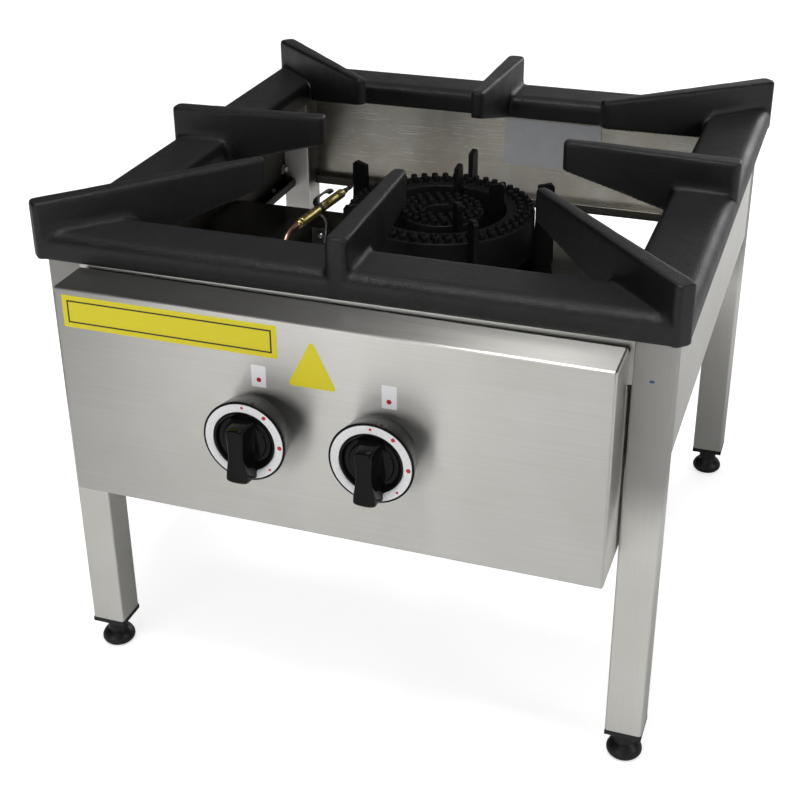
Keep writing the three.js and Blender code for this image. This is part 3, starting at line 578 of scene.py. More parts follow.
# %% Round corners and sheet
def softened(corners, radius, steps=4, ring=False):
    """The line through 2-D corners with each corner swept round. A corner may give its own radius."""
    flat = [Vector(c[:2]) for c in corners]
    own = [c[2] if len(c) > 2 else radius for c in corners]
    line, count = [], len(flat)
    for i, here in enumerate(flat):
        if not ring and i in (0, count - 1) or own[i] <= 0:
            line.append(here)
            continue
        to_before = (flat[i - 1] - here).normalized()
        to_after = (flat[(i + 1) % count] - here).normalized()
        half = math.acos(max(-1.0, min(1.0, to_before.dot(to_after)))) / 2
        reach = own[i] / math.tan(half)
        centre = here + (to_before + to_after).normalized() * (own[i] / math.sin(half))
        first, final = here + to_before * reach - centre, here + to_after * reach - centre
        sweep = first.angle_signed(final)
        for k in range(steps + 1):
            turn = -sweep * k / steps
            c, s = math.cos(turn), math.sin(turn)
            line.append(centre + Vector((first.x * c - first.y * s, first.x * s + first.y * c)))
    return line


def sheet_section(line, thick):
    """Closed outline of a sheet of this thickness whose middle runs along the line."""
    normals = []
    for i in range(len(line)):
        along = (line[min(i + 1, len(line) - 1)] - line[max(i - 1, 0)]).normalized()
        normals.append(Vector((-along.y, along.x)) * (thick / 2))
    out = [p + n for p, n in zip(line, normals)]
    back = [p - n for p, n in zip(line, normals)]
    return out + back[::-1]


print("shape helpers ready")

# %% [markdown]
# ## The cast iron pot grate
#
# One casting carries the pot: a square frame of channel section with eight fingers. The four
# middle fingers point at the middle and the four corner fingers lie on the diagonals. A casting
# has no sharp edge anywhere, and where a finger leaves the frame the metal flows into a
# hollow fillet. To get that, the frame and the fingers are first made as separate rough bodies
# that run into each other. A voxel remesh then melts them into one skin, and smoothing rounds
# every edge and fills every inner corner, as the sand mould does.

# %% The grate's square frame
GRATE_BOTTOM, BAR_TOP = 388.3, 410
BAR_IN, BAR_OUT = 204, 259.3
CHANNEL_IN, CHANNEL_OUT, CHANNEL_TOP = 211, 240, 402
ROUND_IN, ROUND_OUT = 3, 13  # the frame's corners, seen from above
SIDE_STOP = 140              # an extra ring here keeps the long sides straight


def grate_section():
    """The bar's section: a channel, open below, with well rounded shoulders."""
    outline = softened([
        (BAR_IN, GRATE_BOTTOM, 0), (BAR_IN, BAR_TOP, 8), (BAR_OUT, BAR_TOP, 11), (BAR_OUT, GRATE_BOTTOM, 1.5),
        (CHANNEL_OUT, GRATE_BOTTOM, 0), (CHANNEL_OUT, CHANNEL_TOP, 2), (CHANNEL_IN, CHANNEL_TOP, 2),
        (CHANNEL_IN, GRATE_BOTTOM, 0)], 0, steps=5, ring=True)
    return [(p.x, p.y) for p in outline]


def grate_loop(section):
    """The section swept round the square. The corners are rounder outside than inside."""
    quarter_turns = [math.pi / 2 * k / 4 for k in range(5)]
    sides = []
    for u, z in section:
        r = ROUND_IN + (ROUND_OUT - ROUND_IN) * (u - BAR_IN) / (BAR_OUT - BAR_IN)
        corner = [(u - r + r * math.cos(t), u - r + r * math.sin(t)) for t in quarter_turns]
        sides.append([(u, -SIDE_STOP), (u, 0), (u, SIDE_STOP)] + corner)
    rings = []
    for quarter in range(4):
        c, s = ((1, 0), (0, 1), (-1, 0), (0, -1))[quarter]
        for k in range(len(sides[0])):
            ring = []
            for (u, z), side in zip(section, sides):
                x, y = side[k]
                ring.append(spot(x * c - y * s, x * s + y * c, z))
            rings.append(ring)
    return lofted(rings, closed=True)


grate_frame = grate_loop(grate_section())
print("grate frame:", len(grate_frame[1]), "faces")

# %% [markdown]
# A finger is a tall, thin fin. It is highest at its tip, where the pot stands, and thickest at
# the frame. It is lofted through stations along its radius: thinner at both ends, so that they
# come out round, and flared at its foot where it stands on the bar.

# %% The grate's eight fingers
FIN_THICK, TIP_TOP, TIP_DEPTH = 18, 441, 26
FLARE = ((5, -1.5), (2.0, 1.2), (0.7, 3.6), (0, 7))  # out from the fin, and up from the bar's top
EDGE = ((0, 2.2), (0.7, 0.7), (2.2, 0))              # the round top edge: in from the side, down from the top


def blend(a, b, t):
    return a + (b - a) * max(0.0, min(1.0, t))


def grate_finger(degrees, end, top, tip, tip_thick, face, outer):
    """One finger along a radius, with hollow fillets where it stands on the frame's bar."""
    stations = [tip, tip + 1.5, tip + 5]
    r = tip + 12
    while r < end - 12:
        stations.append(r)
        r += 8
    stations += [end - 8, end - 4.5, end - 2.4, end - 1, end]
    thinner = {tip: 0.72, tip + 1.5: 0.9, end - 2.4: 0.9, end - 1: 0.76, end: 0.56}
    c, s = math.cos(math.radians(degrees)), math.sin(math.radians(degrees))
    rings = []
    for r in stations:
        share = (r - tip) / (end - tip)
        half = blend(tip_thick, FIN_THICK, share) / 2 * thinner.get(r, 1.0)
        high = blend(TIP_TOP, top, share) - (0.8 if r in (tip, end) else 0)
        low = min(blend(GRATE_BOTTOM, TIP_TOP - TIP_DEPTH, (face - r) / (face - tip)), high - 8)
        on_bar = blend(0, 1, (r - face + 2) / 6) * blend(0, 1, (outer - r) / 8)
        wall = [(half + out * on_bar, max(BAR_TOP + up, low + 1 + i * 0.5))
                for i, (out, up) in enumerate(FLARE)]
        profile = [(half, low)] + wall + [(half - into, high - down) for into, down in EDGE]
        both_sides = profile + [(-v, z) for v, z in reversed(profile)]
        rings.append([spot(r * c - v * s, r * s + v * c, z) for v, z in both_sides])
    return lofted(rings)


ROOT_2 = math.sqrt(2)
middle = dict(end=BAR_OUT, top=437, tip=110, tip_thick=12.5, face=BAR_IN, outer=254)
diagonal = dict(end=255.8 * ROOT_2, top=435, tip=167, tip_thick=10.5, face=(BAR_IN - 2) * ROOT_2, outer=352)
grate_parts = [grate_frame]
for quarter in range(4):
    grate_parts.append(grate_finger(90 * quarter, **middle))
    grate_parts.append(grate_finger(90 * quarter + 45, **diagonal))
grate = make_piece("pot_grate_cast", joined(*grate_parts), grate_iron, "grate", "grate_iron", "pot_grate")
print("grate, rough:", len(grate.data.polygons), "faces")

# %% [markdown]
# Now the rough bodies are melted together. A voxel of 1.5 mm is small enough to keep the
# fingers crisp and large enough to be quick. Each round of smoothing then takes a little more
# off the edges, and four of them give the worn edge of a sand casting.

# %% Melt the grate into one casting
VOXEL, ROUNDS = 1.5, 4
remesh = grate.modifiers.new("melt", "REMESH")
remesh.mode = "VOXEL"
remesh.voxel_size = VOXEL * MM
remesh.use_smooth_shade = True
smooth = grate.modifiers.new("rounding", "SMOOTH")
smooth.factor = 0.5
smooth.iterations = ROUNDS
settled(grate)
grate.data.shade_smooth()
print("grate, cast:", len(grate.data.polygons), "faces")

# %% [markdown]
# ## Legs
#
# The legs are square tubes: an outer and an inner rounded square, drawn out together so that
# the tube is open and has a real wall. The face that looks inward, to the burner, gets a steel
# that is painted dark at its top: painted shade.

# %% Square leg tubes
FRAME, TUBE, TUBE_WALL = 500, 30, 1.5
LEG_BOTTOM, FRAME_TOP = 32, 388
LEG_MID = FRAME / 2 - TUBE / 2
CORNERS = (("front_left", -1, -1), ("front_right", 1, -1), ("rear_left", -1, 1), ("rear_right", 1, 1))


def rounded_square(half, radius, steps=5):
    return softened([(half, -half), (half, half), (-half, half), (-half, -half)], radius, steps, ring=True)


for corner, sx, sy in CORNERS:
    outside = rounded_square(TUBE / 2, 2.4)
    inside = rounded_square(TUBE / 2 - TUBE_WALL, 1.0)
    rings = []
    for loop, z in ((outside, LEG_BOTTOM), (outside, FRAME_TOP), (inside, FRAME_TOP), (inside, LEG_BOTTOM)):
        rings.append([spot(sx * LEG_MID + p.x, sy * LEG_MID + p.y, z) for p in loop])
    leg = make_piece(f"leg_tube_{corner}", lofted(rings, closed=True), steel_tall, "chassis", "stainless",
                     f"leg_{corner}", smooth=50)
    # the inward face takes the steel that is painted dark at its top: painted shade
    leg.data.materials.append(steel_tall_painted_shade)
    for face in leg.data.polygons:
        if face.normal.x * sx < -0.5:
            face.material_index = 1
print("leg tubes: 4 of", TUBE, "mm")

# %% [markdown]
# ## Folded panels between the legs
#
# These are single sheets bent at the top and bottom. A bent sheet is drawn as the line that
# its middle follows, with round bends, and the helper then gives it its thickness. The bend
# catches the light, which a sharp corner in a model never does. The front rail has no hem, and
# its top bend is wider, which gives the pale strip under the grate.

# %% Fold the panels
SHEET = 1.2
PANEL_BOTTOM, FLANGE, HEM, LIP, RAIL_BOTTOM = 281, 28, 13, 9, 350
PANEL_HALF = FRAME / 2 - TUBE + 1.2  # the ends reach into the round corners of the legs, as a weld does
BEND, RAIL_BEND = 2.0, 4.6
mid = SHEET / 2
panel_line = [(-FLANGE, FRAME_TOP - mid), (-mid, FRAME_TOP - mid), (-mid, PANEL_BOTTOM + mid),
              (mid - HEM, PANEL_BOTTOM + mid), (mid - HEM, PANEL_BOTTOM + LIP)]
rail_line = [(-FLANGE, FRAME_TOP - mid), (-mid, FRAME_TOP - mid), (-mid, RAIL_BOTTOM)]


def folded_panel(name, line, place, finish, inside_finish, inward, node, bend=BEND):
    """A bent sheet between two legs. Inner faces get the inside finish, and the hem below is painted near
    black: painted shade.
    """
    section = sheet_section(softened(line, bend - mid), SHEET)
    panel = make_piece(name, drawn_out(section, place, -PANEL_HALF, PANEL_HALF), finish, "chassis",
                       "stainless", node, smooth=50)
    panel.data.materials.append(inside_finish)
    panel.data.materials.append(steel_shade_black)
    for face in panel.data.polygons:
        in_hem = face.center.z < (PANEL_BOTTOM + LIP - 0.5) * MM
        if face.normal.dot(Vector(inward)) > 0.5:
            face.material_index = 2 if in_hem else 1
        elif face.normal.z > 0.5 and in_hem:
            face.material_index = 2
    return panel


half = FRAME / 2
folded_panel("side_sheet_right", panel_line, lambda u, z, w: spot(half + u, w, z), steel_back,
             steel_side_painted_shade, (-1, 0, 0), "side_panel_right")
folded_panel("side_sheet_left", panel_line, lambda u, z, w: spot(-half - u, -w, z), steel_back,
             steel_side_painted_shade, (1, 0, 0), "side_panel_left")
folded_panel("rear_sheet", panel_line, lambda u, z, w: spot(-w, half + u, z), steel_across,
             steel_inside, (0, -1, 0), "rear_panel")
folded_panel("front_rail_sheet", rail_line, lambda u, z, w: spot(w, -half - u, z), steel_across,
             steel_inside, (0, 1, 0), "front_rail", bend=RAIL_BEND)
print("folded panels: 4")

# %% [markdown]
# ## Small screws inside the frame
#
# Two screw heads show on the inside of the left side sheet. They are too small to be worth a
# place in the CAD model, but an empty sheet looks unfinished without them. A head is a round
# washer and a hexagon: the same turned shape, once with 24 sides and once with 6.

# %% Frame screws
SIDE_FACE = SHEET - half  # the inner face of the left side sheet


def hex_screw(name, along, up, across, high):
    """A hexagon head on a round washer, standing on the left side sheet."""
    def place(x, y, h):
        return spot(SIDE_FACE + h, along + x, up + y)

    washer = turned([(0, 0), (across * 0.72, 0), (across * 0.72, 1.0), (0, 1.0)], place, 24)
    head = turned([(0, 1.0), (across / 2, 1.0), (across / 2, high - 0.6), (across * 0.4, high), (0, high)],
                  place, 6)
    return make_piece(name, joined(washer, head), zinc, "chassis", "zinc")


hex_screw("side_screw_rear", 214, 302, across=7, high=5)
hex_screw("side_screw_low", 186, 286.5, across=4, high=3)
print("frame screws: 2")

# %% [markdown]
# ## The control panel
#
# It is a shallow box of one folded sheet, open at the back. A plain box is made first, its back
# is taken off, its front edges are bevelled round, and a Solidify modifier gives the sheet its
# thickness inward. The real box hangs a touch out of level, so its corners are moved a little
# before the bevel.

# %% Control panel box
BOX_HALF, BOX_BOTTOM, BOX_TOP = 218.2, 203, 382
PANEL_Y, BOX_REAR = -295, -232
LEFT_RISE, RIGHT_DROP = 2.9, 1.4  # how far the top's left end rises and the bottom's right end drops
BOX_BEND = 2.2


def block(xs, ys, zs):
    corners = [(xs[0], ys[0]), (xs[1], ys[0]), (xs[1], ys[1]), (xs[0], ys[1])]
    return drawn_out(corners, spot, *zs)


def hung(point):
    """The corner's place once the box hangs out of level."""
    share = point.x / (2 * BOX_HALF * MM)
    if point.z > (BOX_BOTTOM + BOX_TOP) / 2 * MM:
        return point + Vector((0, 0, LEFT_RISE * (0.5 - share) * MM))
    return point - Vector((0, 0, RIGHT_DROP * (0.5 + share) * MM))


box = block((-BOX_HALF, BOX_HALF), (PANEL_Y, BOX_REAR), (BOX_BOTTOM, BOX_TOP))
panel = make_piece("control_panel_box", box, steel_across, "chassis", "stainless", "control_panel", smooth=50)
shell = bmesh.new()
shell.from_mesh(panel.data)
for corner in shell.verts:
    corner.co = hung(corner.co)
rear = max(shell.faces, key=lambda f: f.calc_center_median().y)
bmesh.ops.delete(shell, geom=[rear], context="FACES_ONLY")
folds = [e for e in shell.edges if len(e.link_faces) == 2]
bmesh.ops.bevel(shell, geom=folds, offset=BOX_BEND * MM, segments=5, profile=0.5, affect="EDGES")
shell.to_mesh(panel.data)
shell.free()
wall = panel.modifiers.new("sheet", "SOLIDIFY")
wall.thickness = SHEET * MM
wall.offset = -1
settled(panel)
print("box:", len(panel.data.polygons), "faces before the cuts")

# %% [markdown]
# Three things are cut away with Boolean modifiers: a notch that lets the box pass the front
# rail, a slit behind the top flange, which shows as a dark line, and two holes for the tap
# spindles. Each cutter is a closed body that is deleted once the cut is made.

# %% Notch, slit and spindle holes
KNOB_X, TAP_Z, HOLE_R = 50, 295, 6
RAIL_FACE, NOTCH_BOTTOM = -250.3, 348
FLANGE_END, SLIT_BOTTOM = -256.5, 377
PAST_X, PAST_Y, PAST_Z = 300, -100, 500  # well past the box


def cut_out(piece, *bodies):
    """Cuts the bodies out of the piece and removes them."""
    for body in bodies:
        cut = piece.modifiers.new("cut", "BOOLEAN")
        cut.operation = "DIFFERENCE"
        cut.object = body
        cut.solver = "EXACT"
    settled(piece)
    for body in bodies:
        bpy.data.objects.remove(body, do_unlink=True)
    return piece


def spindle_hole(side):
    def place(x, y, h):
        return spot(side * KNOB_X + x, PANEL_Y + h, TAP_Z + y)

    return object_of("hole", turned([(HOLE_R, -3), (HOLE_R, 3)], place, 32))


notch = object_of("notch", block((-PAST_X, PAST_X), (RAIL_FACE, PAST_Y), (NOTCH_BOTTOM, PAST_Z)))
slit = object_of("slit", block((-PAST_X, PAST_X), (FLANGE_END, PAST_Y), (SLIT_BOTTOM, PAST_Z)))
cut_out(panel, notch, slit, spindle_hole(-1), spindle_hole(1))
panel.data.shade_smooth()
panel.data.set_sharp_from_angle(angle=math.radians(50))
print("control panel:", len(panel.data.polygons), "faces")

# %% [markdown]
# ## Knobs
#
# Each knob is one glossy black moulding: a slightly conical skirt, a raised rim, a sunken dish
# with a low round boss, and a grip bar whose lower end is the pointer. The white dial ring
# lies in the face and turns with the knob. The skirt, dish and boss are turned. The grip is a
# loft through level outlines that are narrow half way up, so that the fingers find a hollow.

# %% Knob bodies
SKIRT, DIAL_Y, KNOB_R = 20, -325, 33


def knob_place(side):
    """Puts (across, up, out) of a knob on the range. Out points at the user."""
    return lambda x, y, h: spot(side * KNOB_X + x, DIAL_Y + SKIRT - h, TAP_Z + y)


def smooth_loop(points, bends=4):
    """Closed smooth line through the points."""
    knots = [Vector(p) for p in points]
    n, line = len(knots), []
    for i in range(n):
        p0, p1, p2, p3 = knots[i - 1], knots[i], knots[(i + 1) % n], knots[(i + 2) % n]
        line += [curve_point(p0, p1, p2, p3, k / bends) for k in range(bends)]
    return line


def grip_outline(top, end, upper, waist, lower):
    """The bar seen from the front: its upper and lower ends, and its half widths going down."""
    right = [(upper * 0.55, top), (upper, top - 2.5), (waist, 4), (waist, -6), (lower, end + 7),
             (lower * 0.8, end + 1.4)]
    return smooth_loop(right + [(-x, y) for x, y in reversed(right)])


GRIP_LEVELS = (  # out from the face, then the outline there
    (-2, 19.5, -31.6, 10.8, 10.2, 9.6), (0, 19, -31.4, 9.4, 8.4, 9.0), (4, 18.4, -30.7, 7.8, 6.4, 8.3),
    (9, 18.0, -29.6, 6.9, 5.8, 8.1), (13.5, 17.6, -28.6, 6.7, 6.1, 8.5),
    (15.2, 17.2, -28.0, 6.5, 6.0, 8.3), (15.9, 16.4, -27.2, 5.8, 5.4, 7.6),
    (15.95, 15.4, -26.2, 4.9, 4.5, 6.7), (15.7, 14.2, -24.8, 3.5, 3.2, 5.2),
)


def grip_bar(place):
    return lofted([[place(p.x, p.y, SKIRT + out) for p in grip_outline(*rest)] for out, *rest in GRIP_LEVELS])


SKIRT_PROFILE = [  # radius, and distance from the panel side of the knob
    (4.3, -5), (8, -5), (8, 13.5), (26, 14.5), (26, 2), (27.6, 0.4), (28.2, 0), (29.2, 0), (29.6, 0.5),
    (32.75, 18), (33, 18.9), (32.9, 19.6), (32.5, 20), (32.0, 20), (31.75, 19.7), (24.7, 19.7),
    (24.4, 20.5), (23.9, 20.8), (23.2, 20.7), (22.2, 20.2), (21.4, 18.9), (20.6, 18.3), (18.4, 18.2),
    (17.6, 18.6), (17.2, 19.4), (16.6, 20.0), (15.6, 20.2), (8, 20.2), (0, 20.2),
]
for name, side in (("left", -1), ("right", 1)):
    place = knob_place(side)
    body = joined(turned(SKIRT_PROFILE, place, sides=72), grip_bar(place))
    make_piece(f"knob_moulding_{name}", body, knob_plastic, f"knob_{name}", "black_plastic",
               f"knob_{name}", smooth=32)
print("knobs:", KNOB_R * 2, "mm across")

# %% [markdown]
# ## Dial rings and their dots
#
# The white ring is open at the bottom, where the pointer's black wedge reaches the rim. It is
# drawn as an outer and an inner line with the same number of points, which makes it easy to
# fill. The four red dots are small thin discs laid on it.

# %% Dial rings
RING_IN, RING_OUT, WEDGE = 24.9, 31.2, 23.4  # the wedge's edges pass this far from the knob's middle
RING_BACK, RING_FACE = SKIRT - 0.28, SKIRT - 0.02
DOTS = ((0, 1.05), (37, 1.6), (91, 1.75), (136, 1.05))  # degrees clockwise from the top, radius
DOT_CIRCLE = 28.6


def arc(radius, start, count=60):
    """Points from start over the top to the same place on the other side."""
    turns = [start + (math.pi - 2 * start) * i / count for i in range(count + 1)]
    return [(radius * math.cos(turn), radius * math.sin(turn)) for turn in turns]


for name, side in (("left", -1), ("right", 1)):
    place = knob_place(side)
    outer = arc(RING_OUT, -math.pi / 4 - math.acos(WEDGE / RING_OUT))
    inner = arc(RING_IN, -math.pi / 4 + math.acos(WEDGE / RING_IN))
    sections = []
    for far, near in zip(outer, inner):
        sections.append([place(*far, RING_BACK), place(*far, RING_FACE), place(*near, RING_FACE),
                         place(*near, RING_BACK)])
    make_piece(f"dial_ring_white_{name}", lofted(sections), dial_white, f"knob_{name}", "dial_white",
               f"dial_ring_{name}", smooth=30)
    dots = []
    for degrees, radius in DOTS:
        a = math.radians(90 - degrees)
        x, y = DOT_CIRCLE * math.cos(a), DOT_CIRCLE * math.sin(a)
        dots.append(turned([(0, 0), (radius, 0), (radius, 0.08), (0, 0.1)],
                           lambda px, py, h, x=x, y=y: place(x + px, y + py, RING_FACE + h), 20))
    make_piece(f"dial_dots_{name}", joined(*dots), dot_red, f"knob_{name}", "dial_white")
print("dial rings: 2, with", len(DOTS), "dots each")

# %% [markdown]
# ## Burner rings
#
# Two iron rings with rows of short studs between which the flames stand. The ring is turned
# from a profile with rounded edges, and each stud is a small drum with a domed top. The studs
# are pieces of their own, because soot keeps them darker than the ring.

# %% Rings with studs
BURNER_TOP, RING_BOTTOM, INNER_STEP = 365.3, 327.8, 2  # the inner ring's top lies a step lower
STUD_PROFILE = ((3.4, -0.6), (3.2, 0.3), (3.0, 3.6), (2.7, 4.2), (2.0, 4.5), (0, 4.5))
OUTER_ROWS = ((79.6, 50), (71.6, 44))  # radius of the row, number of studs
INNER_ROWS = ((34.2, 24), (26.6, 18), (19.2, 12))


def stud(x, y, top, sides=10):
    return turned([(r, top + up) for r, up in STUD_PROFILE], lambda px, py, h: spot(x + px, y + py, h), sides)


def stud_row(radius, count, top):
    turns = [2 * math.pi * (i + 0.5) / count for i in range(count)]
    return [stud(radius * math.cos(t), radius * math.sin(t), top) for t in turns]


def burner_ring(name, inner, outer, top, rows, node):
    profile = softened([(inner, RING_BOTTOM, 1), (outer, RING_BOTTOM, 3.2), (outer, top, 1.4),
                        (inner, top, 1.4)], 1, 3, ring=True)
    body = turned([(p.x, p.y) for p in profile], lambda x, y, h: spot(x, y, h), 96, closed=True)
    studs = [s for radius, count in rows for s in stud_row(radius, count, top)]
    make_piece(f"{name}_studs", joined(*studs), stud_iron, "chassis", "burner_iron", smooth=38)
    return make_piece(name, body, burner_iron, "chassis", "burner_iron", node, smooth=38)


burner_ring("burner_ring_outer", 58.5, 84.4, BURNER_TOP, OUTER_ROWS, "outer_burner_ring")
burner_ring("burner_ring_inner", 15, 38.2, BURNER_TOP - INNER_STEP, INNER_ROWS, "inner_burner_ring")
edge_bevel(frame["nodes"]["burner_spider"], 1.0, segments=3)
print("burner rings: 2, studs:", sum(count for _, count in OUTER_ROWS + INNER_ROWS))

# %% [markdown]
# ## Screw feet
#
# A black moulded foot on a threaded stud under each leg: a domed pad, a neck and a stud. It is
# a plain turned shape with more steps than the CAD solid has.

# %% Feet
FOOT_PROFILE = [
    (0, 0), (9.6, 0), (10.8, 0.3), (12.6, 1.3), (13.9, 2.8), (14.6, 4.3), (14.75, 5.6), (14.5, 7.2),
    (13.7, 9.0), (12.5, 10.8), (11.0, 12.3), (9.7, 13.3), (8.9, 14.3), (8.6, 15.4), (8.6, 26.4), (8.2, 27.1),
    (4, 27.1), (4, 47), (3.2, 48), (0, 48)]
for corner, sx, sy in CORNERS:
    foot = turned(FOOT_PROFILE, lambda x, y, h, sx=sx, sy=sy: spot(sx * LEG_MID + x, sy * LEG_MID + y, h), 40)
    make_piece(f"screw_foot_{corner}", foot, foot_plastic, f"foot_{corner}", "foot_plastic", f"foot_{corner}")
    edge_bevel(frame["nodes"][f"leg_plug_{corner}"], 0.5)
print("feet: 4")

# %% [markdown]
# ## The pilot burner
#
# A thin brass tube lies level beside the burner, in two lengths with a groove between them, and
# a dark steel nozzle at its end points at the burner. Both are turned, but the lathe's axis is
# the pilot's own line, which runs a few degrees off straight back.

# %% Pilot body and tip
PILOT_Z = 375
pilot_start, pilot_stop = Vector((-97.5, -99, PILOT_Z)), Vector((-88.8, -13, PILOT_Z))
pilot_along = (pilot_stop - pilot_start).normalized()
pilot_across = Vector((pilot_along.y, -pilot_along.x, 0))
pilot_length = (pilot_stop - pilot_start).length


def pilot_place(x, y, h):
    return spot(*(pilot_start + pilot_along * h + pilot_across * x + Vector((0, 0, y))))


brass_profile = [  # radius, and distance along the pilot
    (0, 0), (3.0, 0), (3.5, 0.5), (3.5, 1.8), (4.0, 2.4), (4.15, 3.2), (4.15, 5.0), (3.9, 5.3), (3.9, 5.9),
    (4.15, 6.2), (4.15, 36.6), (3.8, 37.8), (3.0, 38.4), (3.0, 42.6), (3.7, 43), (4.25, 44), (4.25, 70),
    (4.1, 70.4), (4.1, 71), (4.25, 71.4), (4.25, pilot_length - 3.6), (3.8, pilot_length - 2.4),
    (2.9, pilot_length - 0.8), (2.6, pilot_length), (0, pilot_length)]
make_piece("pilot_brass_tube", turned(brass_profile, pilot_place, 32), brass, "chassis", "brass",
           "pilot_body", smooth=30)
TIP_PROFILE = (  # the same, from the end of the brass tube
    (0, 0.3), (2.3, 0.3), (2.5, 1), (2.5, 5), (1.9, 5.8), (1.7, 9), (2, 9.6), (2, 15), (1.2, 19.6),
    (0.8, 20), (0, 20))
tip = turned([(r, pilot_length + h) for r, h in TIP_PROFILE], pilot_place, 24)
make_piece("pilot_nozzle", tip, dark_steel, "chassis", "grate_iron", "pilot_tip")
print(f"pilot: {pilot_length:.0f} mm of brass")

# %% [markdown]
# The bare copper pipe starts in a short flare on the brass tube and then drops forward to the
# gas tap. A smooth curve through a dozen points gives it the easy bends of soft pipe that was
# bent by hand.

# %% Pilot pipe
flare = turned([(0, -0.4), (2.7, -0.4), (2.9, -1.4), (2.9, -4), (2.4, -8), (2.1, -12), (0, -12)],
               pilot_place, 24)


def behind(h, drop=0.0):
    """A point on the pilot's line, h millimetres past its start, lowered by drop."""
    return tuple(pilot_start + pilot_along * h - Vector((0, 0, drop)))


pipe_route = [behind(-9), behind(-15, 0.8), behind(-20, 3.5), (-100, -127, 364), (-99, -152, 344),
              (-94, -182, 318), (-84, -205, 304), (-79, -225, 300), (-79, -248, 298), (-79, -263, 296),
              (-74, -283, 295), (-63.4, -283, 295)]
pipe = piped(pipe_route, lambda t: 1.8 if t > 0.12 else 2.1 - 2.5 * t, spot, 14, 4)
make_piece("pilot_copper_pipe", joined(flare, pipe), copper, "chassis", "copper", "pilot_pipe")
print("pilot pipe through", len(pipe_route), "points")

# %% [markdown]
# A spring clip goes round the groove, and its long leaf stands up over the tube. A bent rod
# hangs from it, and a screw holds the bracket below. They are small, but they catch the light
# in front of a dark background, so they are worth their few lines.

# %% Pilot clip, rod and screw
band = turned([(3.1, 38.7), (4.5, 38.7), (4.7, 39.1), (4.7, 42.0), (4.5, 42.4), (3.1, 42.4)],
              pilot_place, 32, closed=True)
LEAF_LINE = [(3.6, 40.5), (7.2, 42), (9.0, 46), (9.6, 54), (9.4, 65), (8.0, 69.5), (5.8, 71)]
LEAF_THICK, LEAF_HALF = 2.2, 2.8
LEAF_TURN = math.radians(128)  # where the leaf stands round the tube, from the right hand side
leaf_section = sheet_section(softened(LEAF_LINE, 1.8, steps=3), LEAF_THICK)


def leaf_place(out, h, across):
    c, s = math.cos(LEAF_TURN), math.sin(LEAF_TURN)
    return pilot_place(out * c - across * s, out * s + across * c, h)


def screw_place(x, y, h):
    return spot(-92.3 + x, -60.3 - h, 350.9 + y)


leaf = drawn_out(leaf_section, leaf_place, -LEAF_HALF, LEAF_HALF)
make_piece("pilot_spring_clip", joined(band, leaf), dark_steel, "chassis", "grate_iron", "pilot_clip",
           smooth=40)
rod_route = [(-93.5, -61, 371.4), (-91.4, -62, 371.2), (-88.4, -62, 368.6), (-86.3, -62, 364.0),
             (-86.6, -62, 359), (-87.1, -62, 354), (-88.5, -62, 345)]
make_piece("pilot_hanging_rod", piped(rod_route, 1.0, spot, 10, 5), zinc, "chassis", "zinc", "pilot_rod")
screw_head = turned([(0, 0), (2.9, 0), (3.0, 0.5), (2.6, 1.5), (1.6, 2.2), (1.5, 1.6), (0, 1.6)],
                    screw_place, 20)
make_piece("pilot_screw_head", screw_head, zinc, "chassis", "zinc", "pilot_screw")
edge_bevel(frame["nodes"]["pilot_bracket"], 0.25)
print("pilot clip, rod and screw ready")

# %% [markdown]
# ## Stickers and marker tabs
#
# The panel carries plain stickers: a long yellow one, a yellow triangle, and a white tab with a
# red dot over each knob. They are thin films with rounded corners, laid a hair over the steel.
# All of them are blank. A dab of blue paint on the right leg was left by the workshop.

# %% Stickers
sticker_yellow = plastic("sticker_yellow", (0.76, 0.66, 0.012), (0.35, 0.5), 0.004)
sticker_edge = plastic("sticker_edge", (0.03, 0.018, 0.004), (0.4, 0.5), 0.004)
sticker_white = plastic("sticker_white", (0.90, 0.89, 0.92), (0.35, 0.5), 0.004)
dot_blue = plastic("dot_blue", (0.03, 0.07, 0.22), (0.4, 0.5), 0.004)
FILM, INK, GLUE = 0.12, 0.03, 0.02
STICKER_BACK = PANEL_Y - GLUE
STICKER_FACE = STICKER_BACK - FILM
LONG_STICKER, LONG_BORDER, BORDER_WIDE = (-211.5, -33, 352, 379), (-207.4, -37.1, 356.0, 375.0), 1.3
TRIANGLE = [(-25.8, 332), (13.5, 332), (-5.6, 371.7)]
TABS = (("left", (-55, -43.2, 326, 344), (-48.9, 332.1)), ("right", (48.3, 59.8, 325, 344), (53.9, 330.9)))


def corners_of(x0, x1, z0, z1):
    return [(x0, z0), (x1, z0), (x1, z1), (x0, z1)]


def film(name, corners, radius, finish):
    """A thin flat film on the panel's face, from corners of (across, up)."""
    outline = softened(corners, radius, 3, ring=True)
    sheet = drawn_out(outline, lambda u, v, w: spot(u, w, v), STICKER_FACE, STICKER_BACK)
    return make_piece(name, sheet, finish, "chassis", "label")


def border_line(name, box, width, finish):
    """A thin printed line laid on a sticker."""
    x0, x1, z0, z1 = box
    strips = [((x0, x1), (z0, z0 + width)), ((x0, x1), (z1 - width, z1)),
              ((x0, x0 + width), (z0 + width, z1 - width)), ((x1 - width, x1), (z0 + width, z1 - width))]
    shapes = [block(xs, (STICKER_FACE - INK, STICKER_FACE), zs) for xs, zs in strips]
    return make_piece(name, joined(*shapes), finish, "chassis", "label")


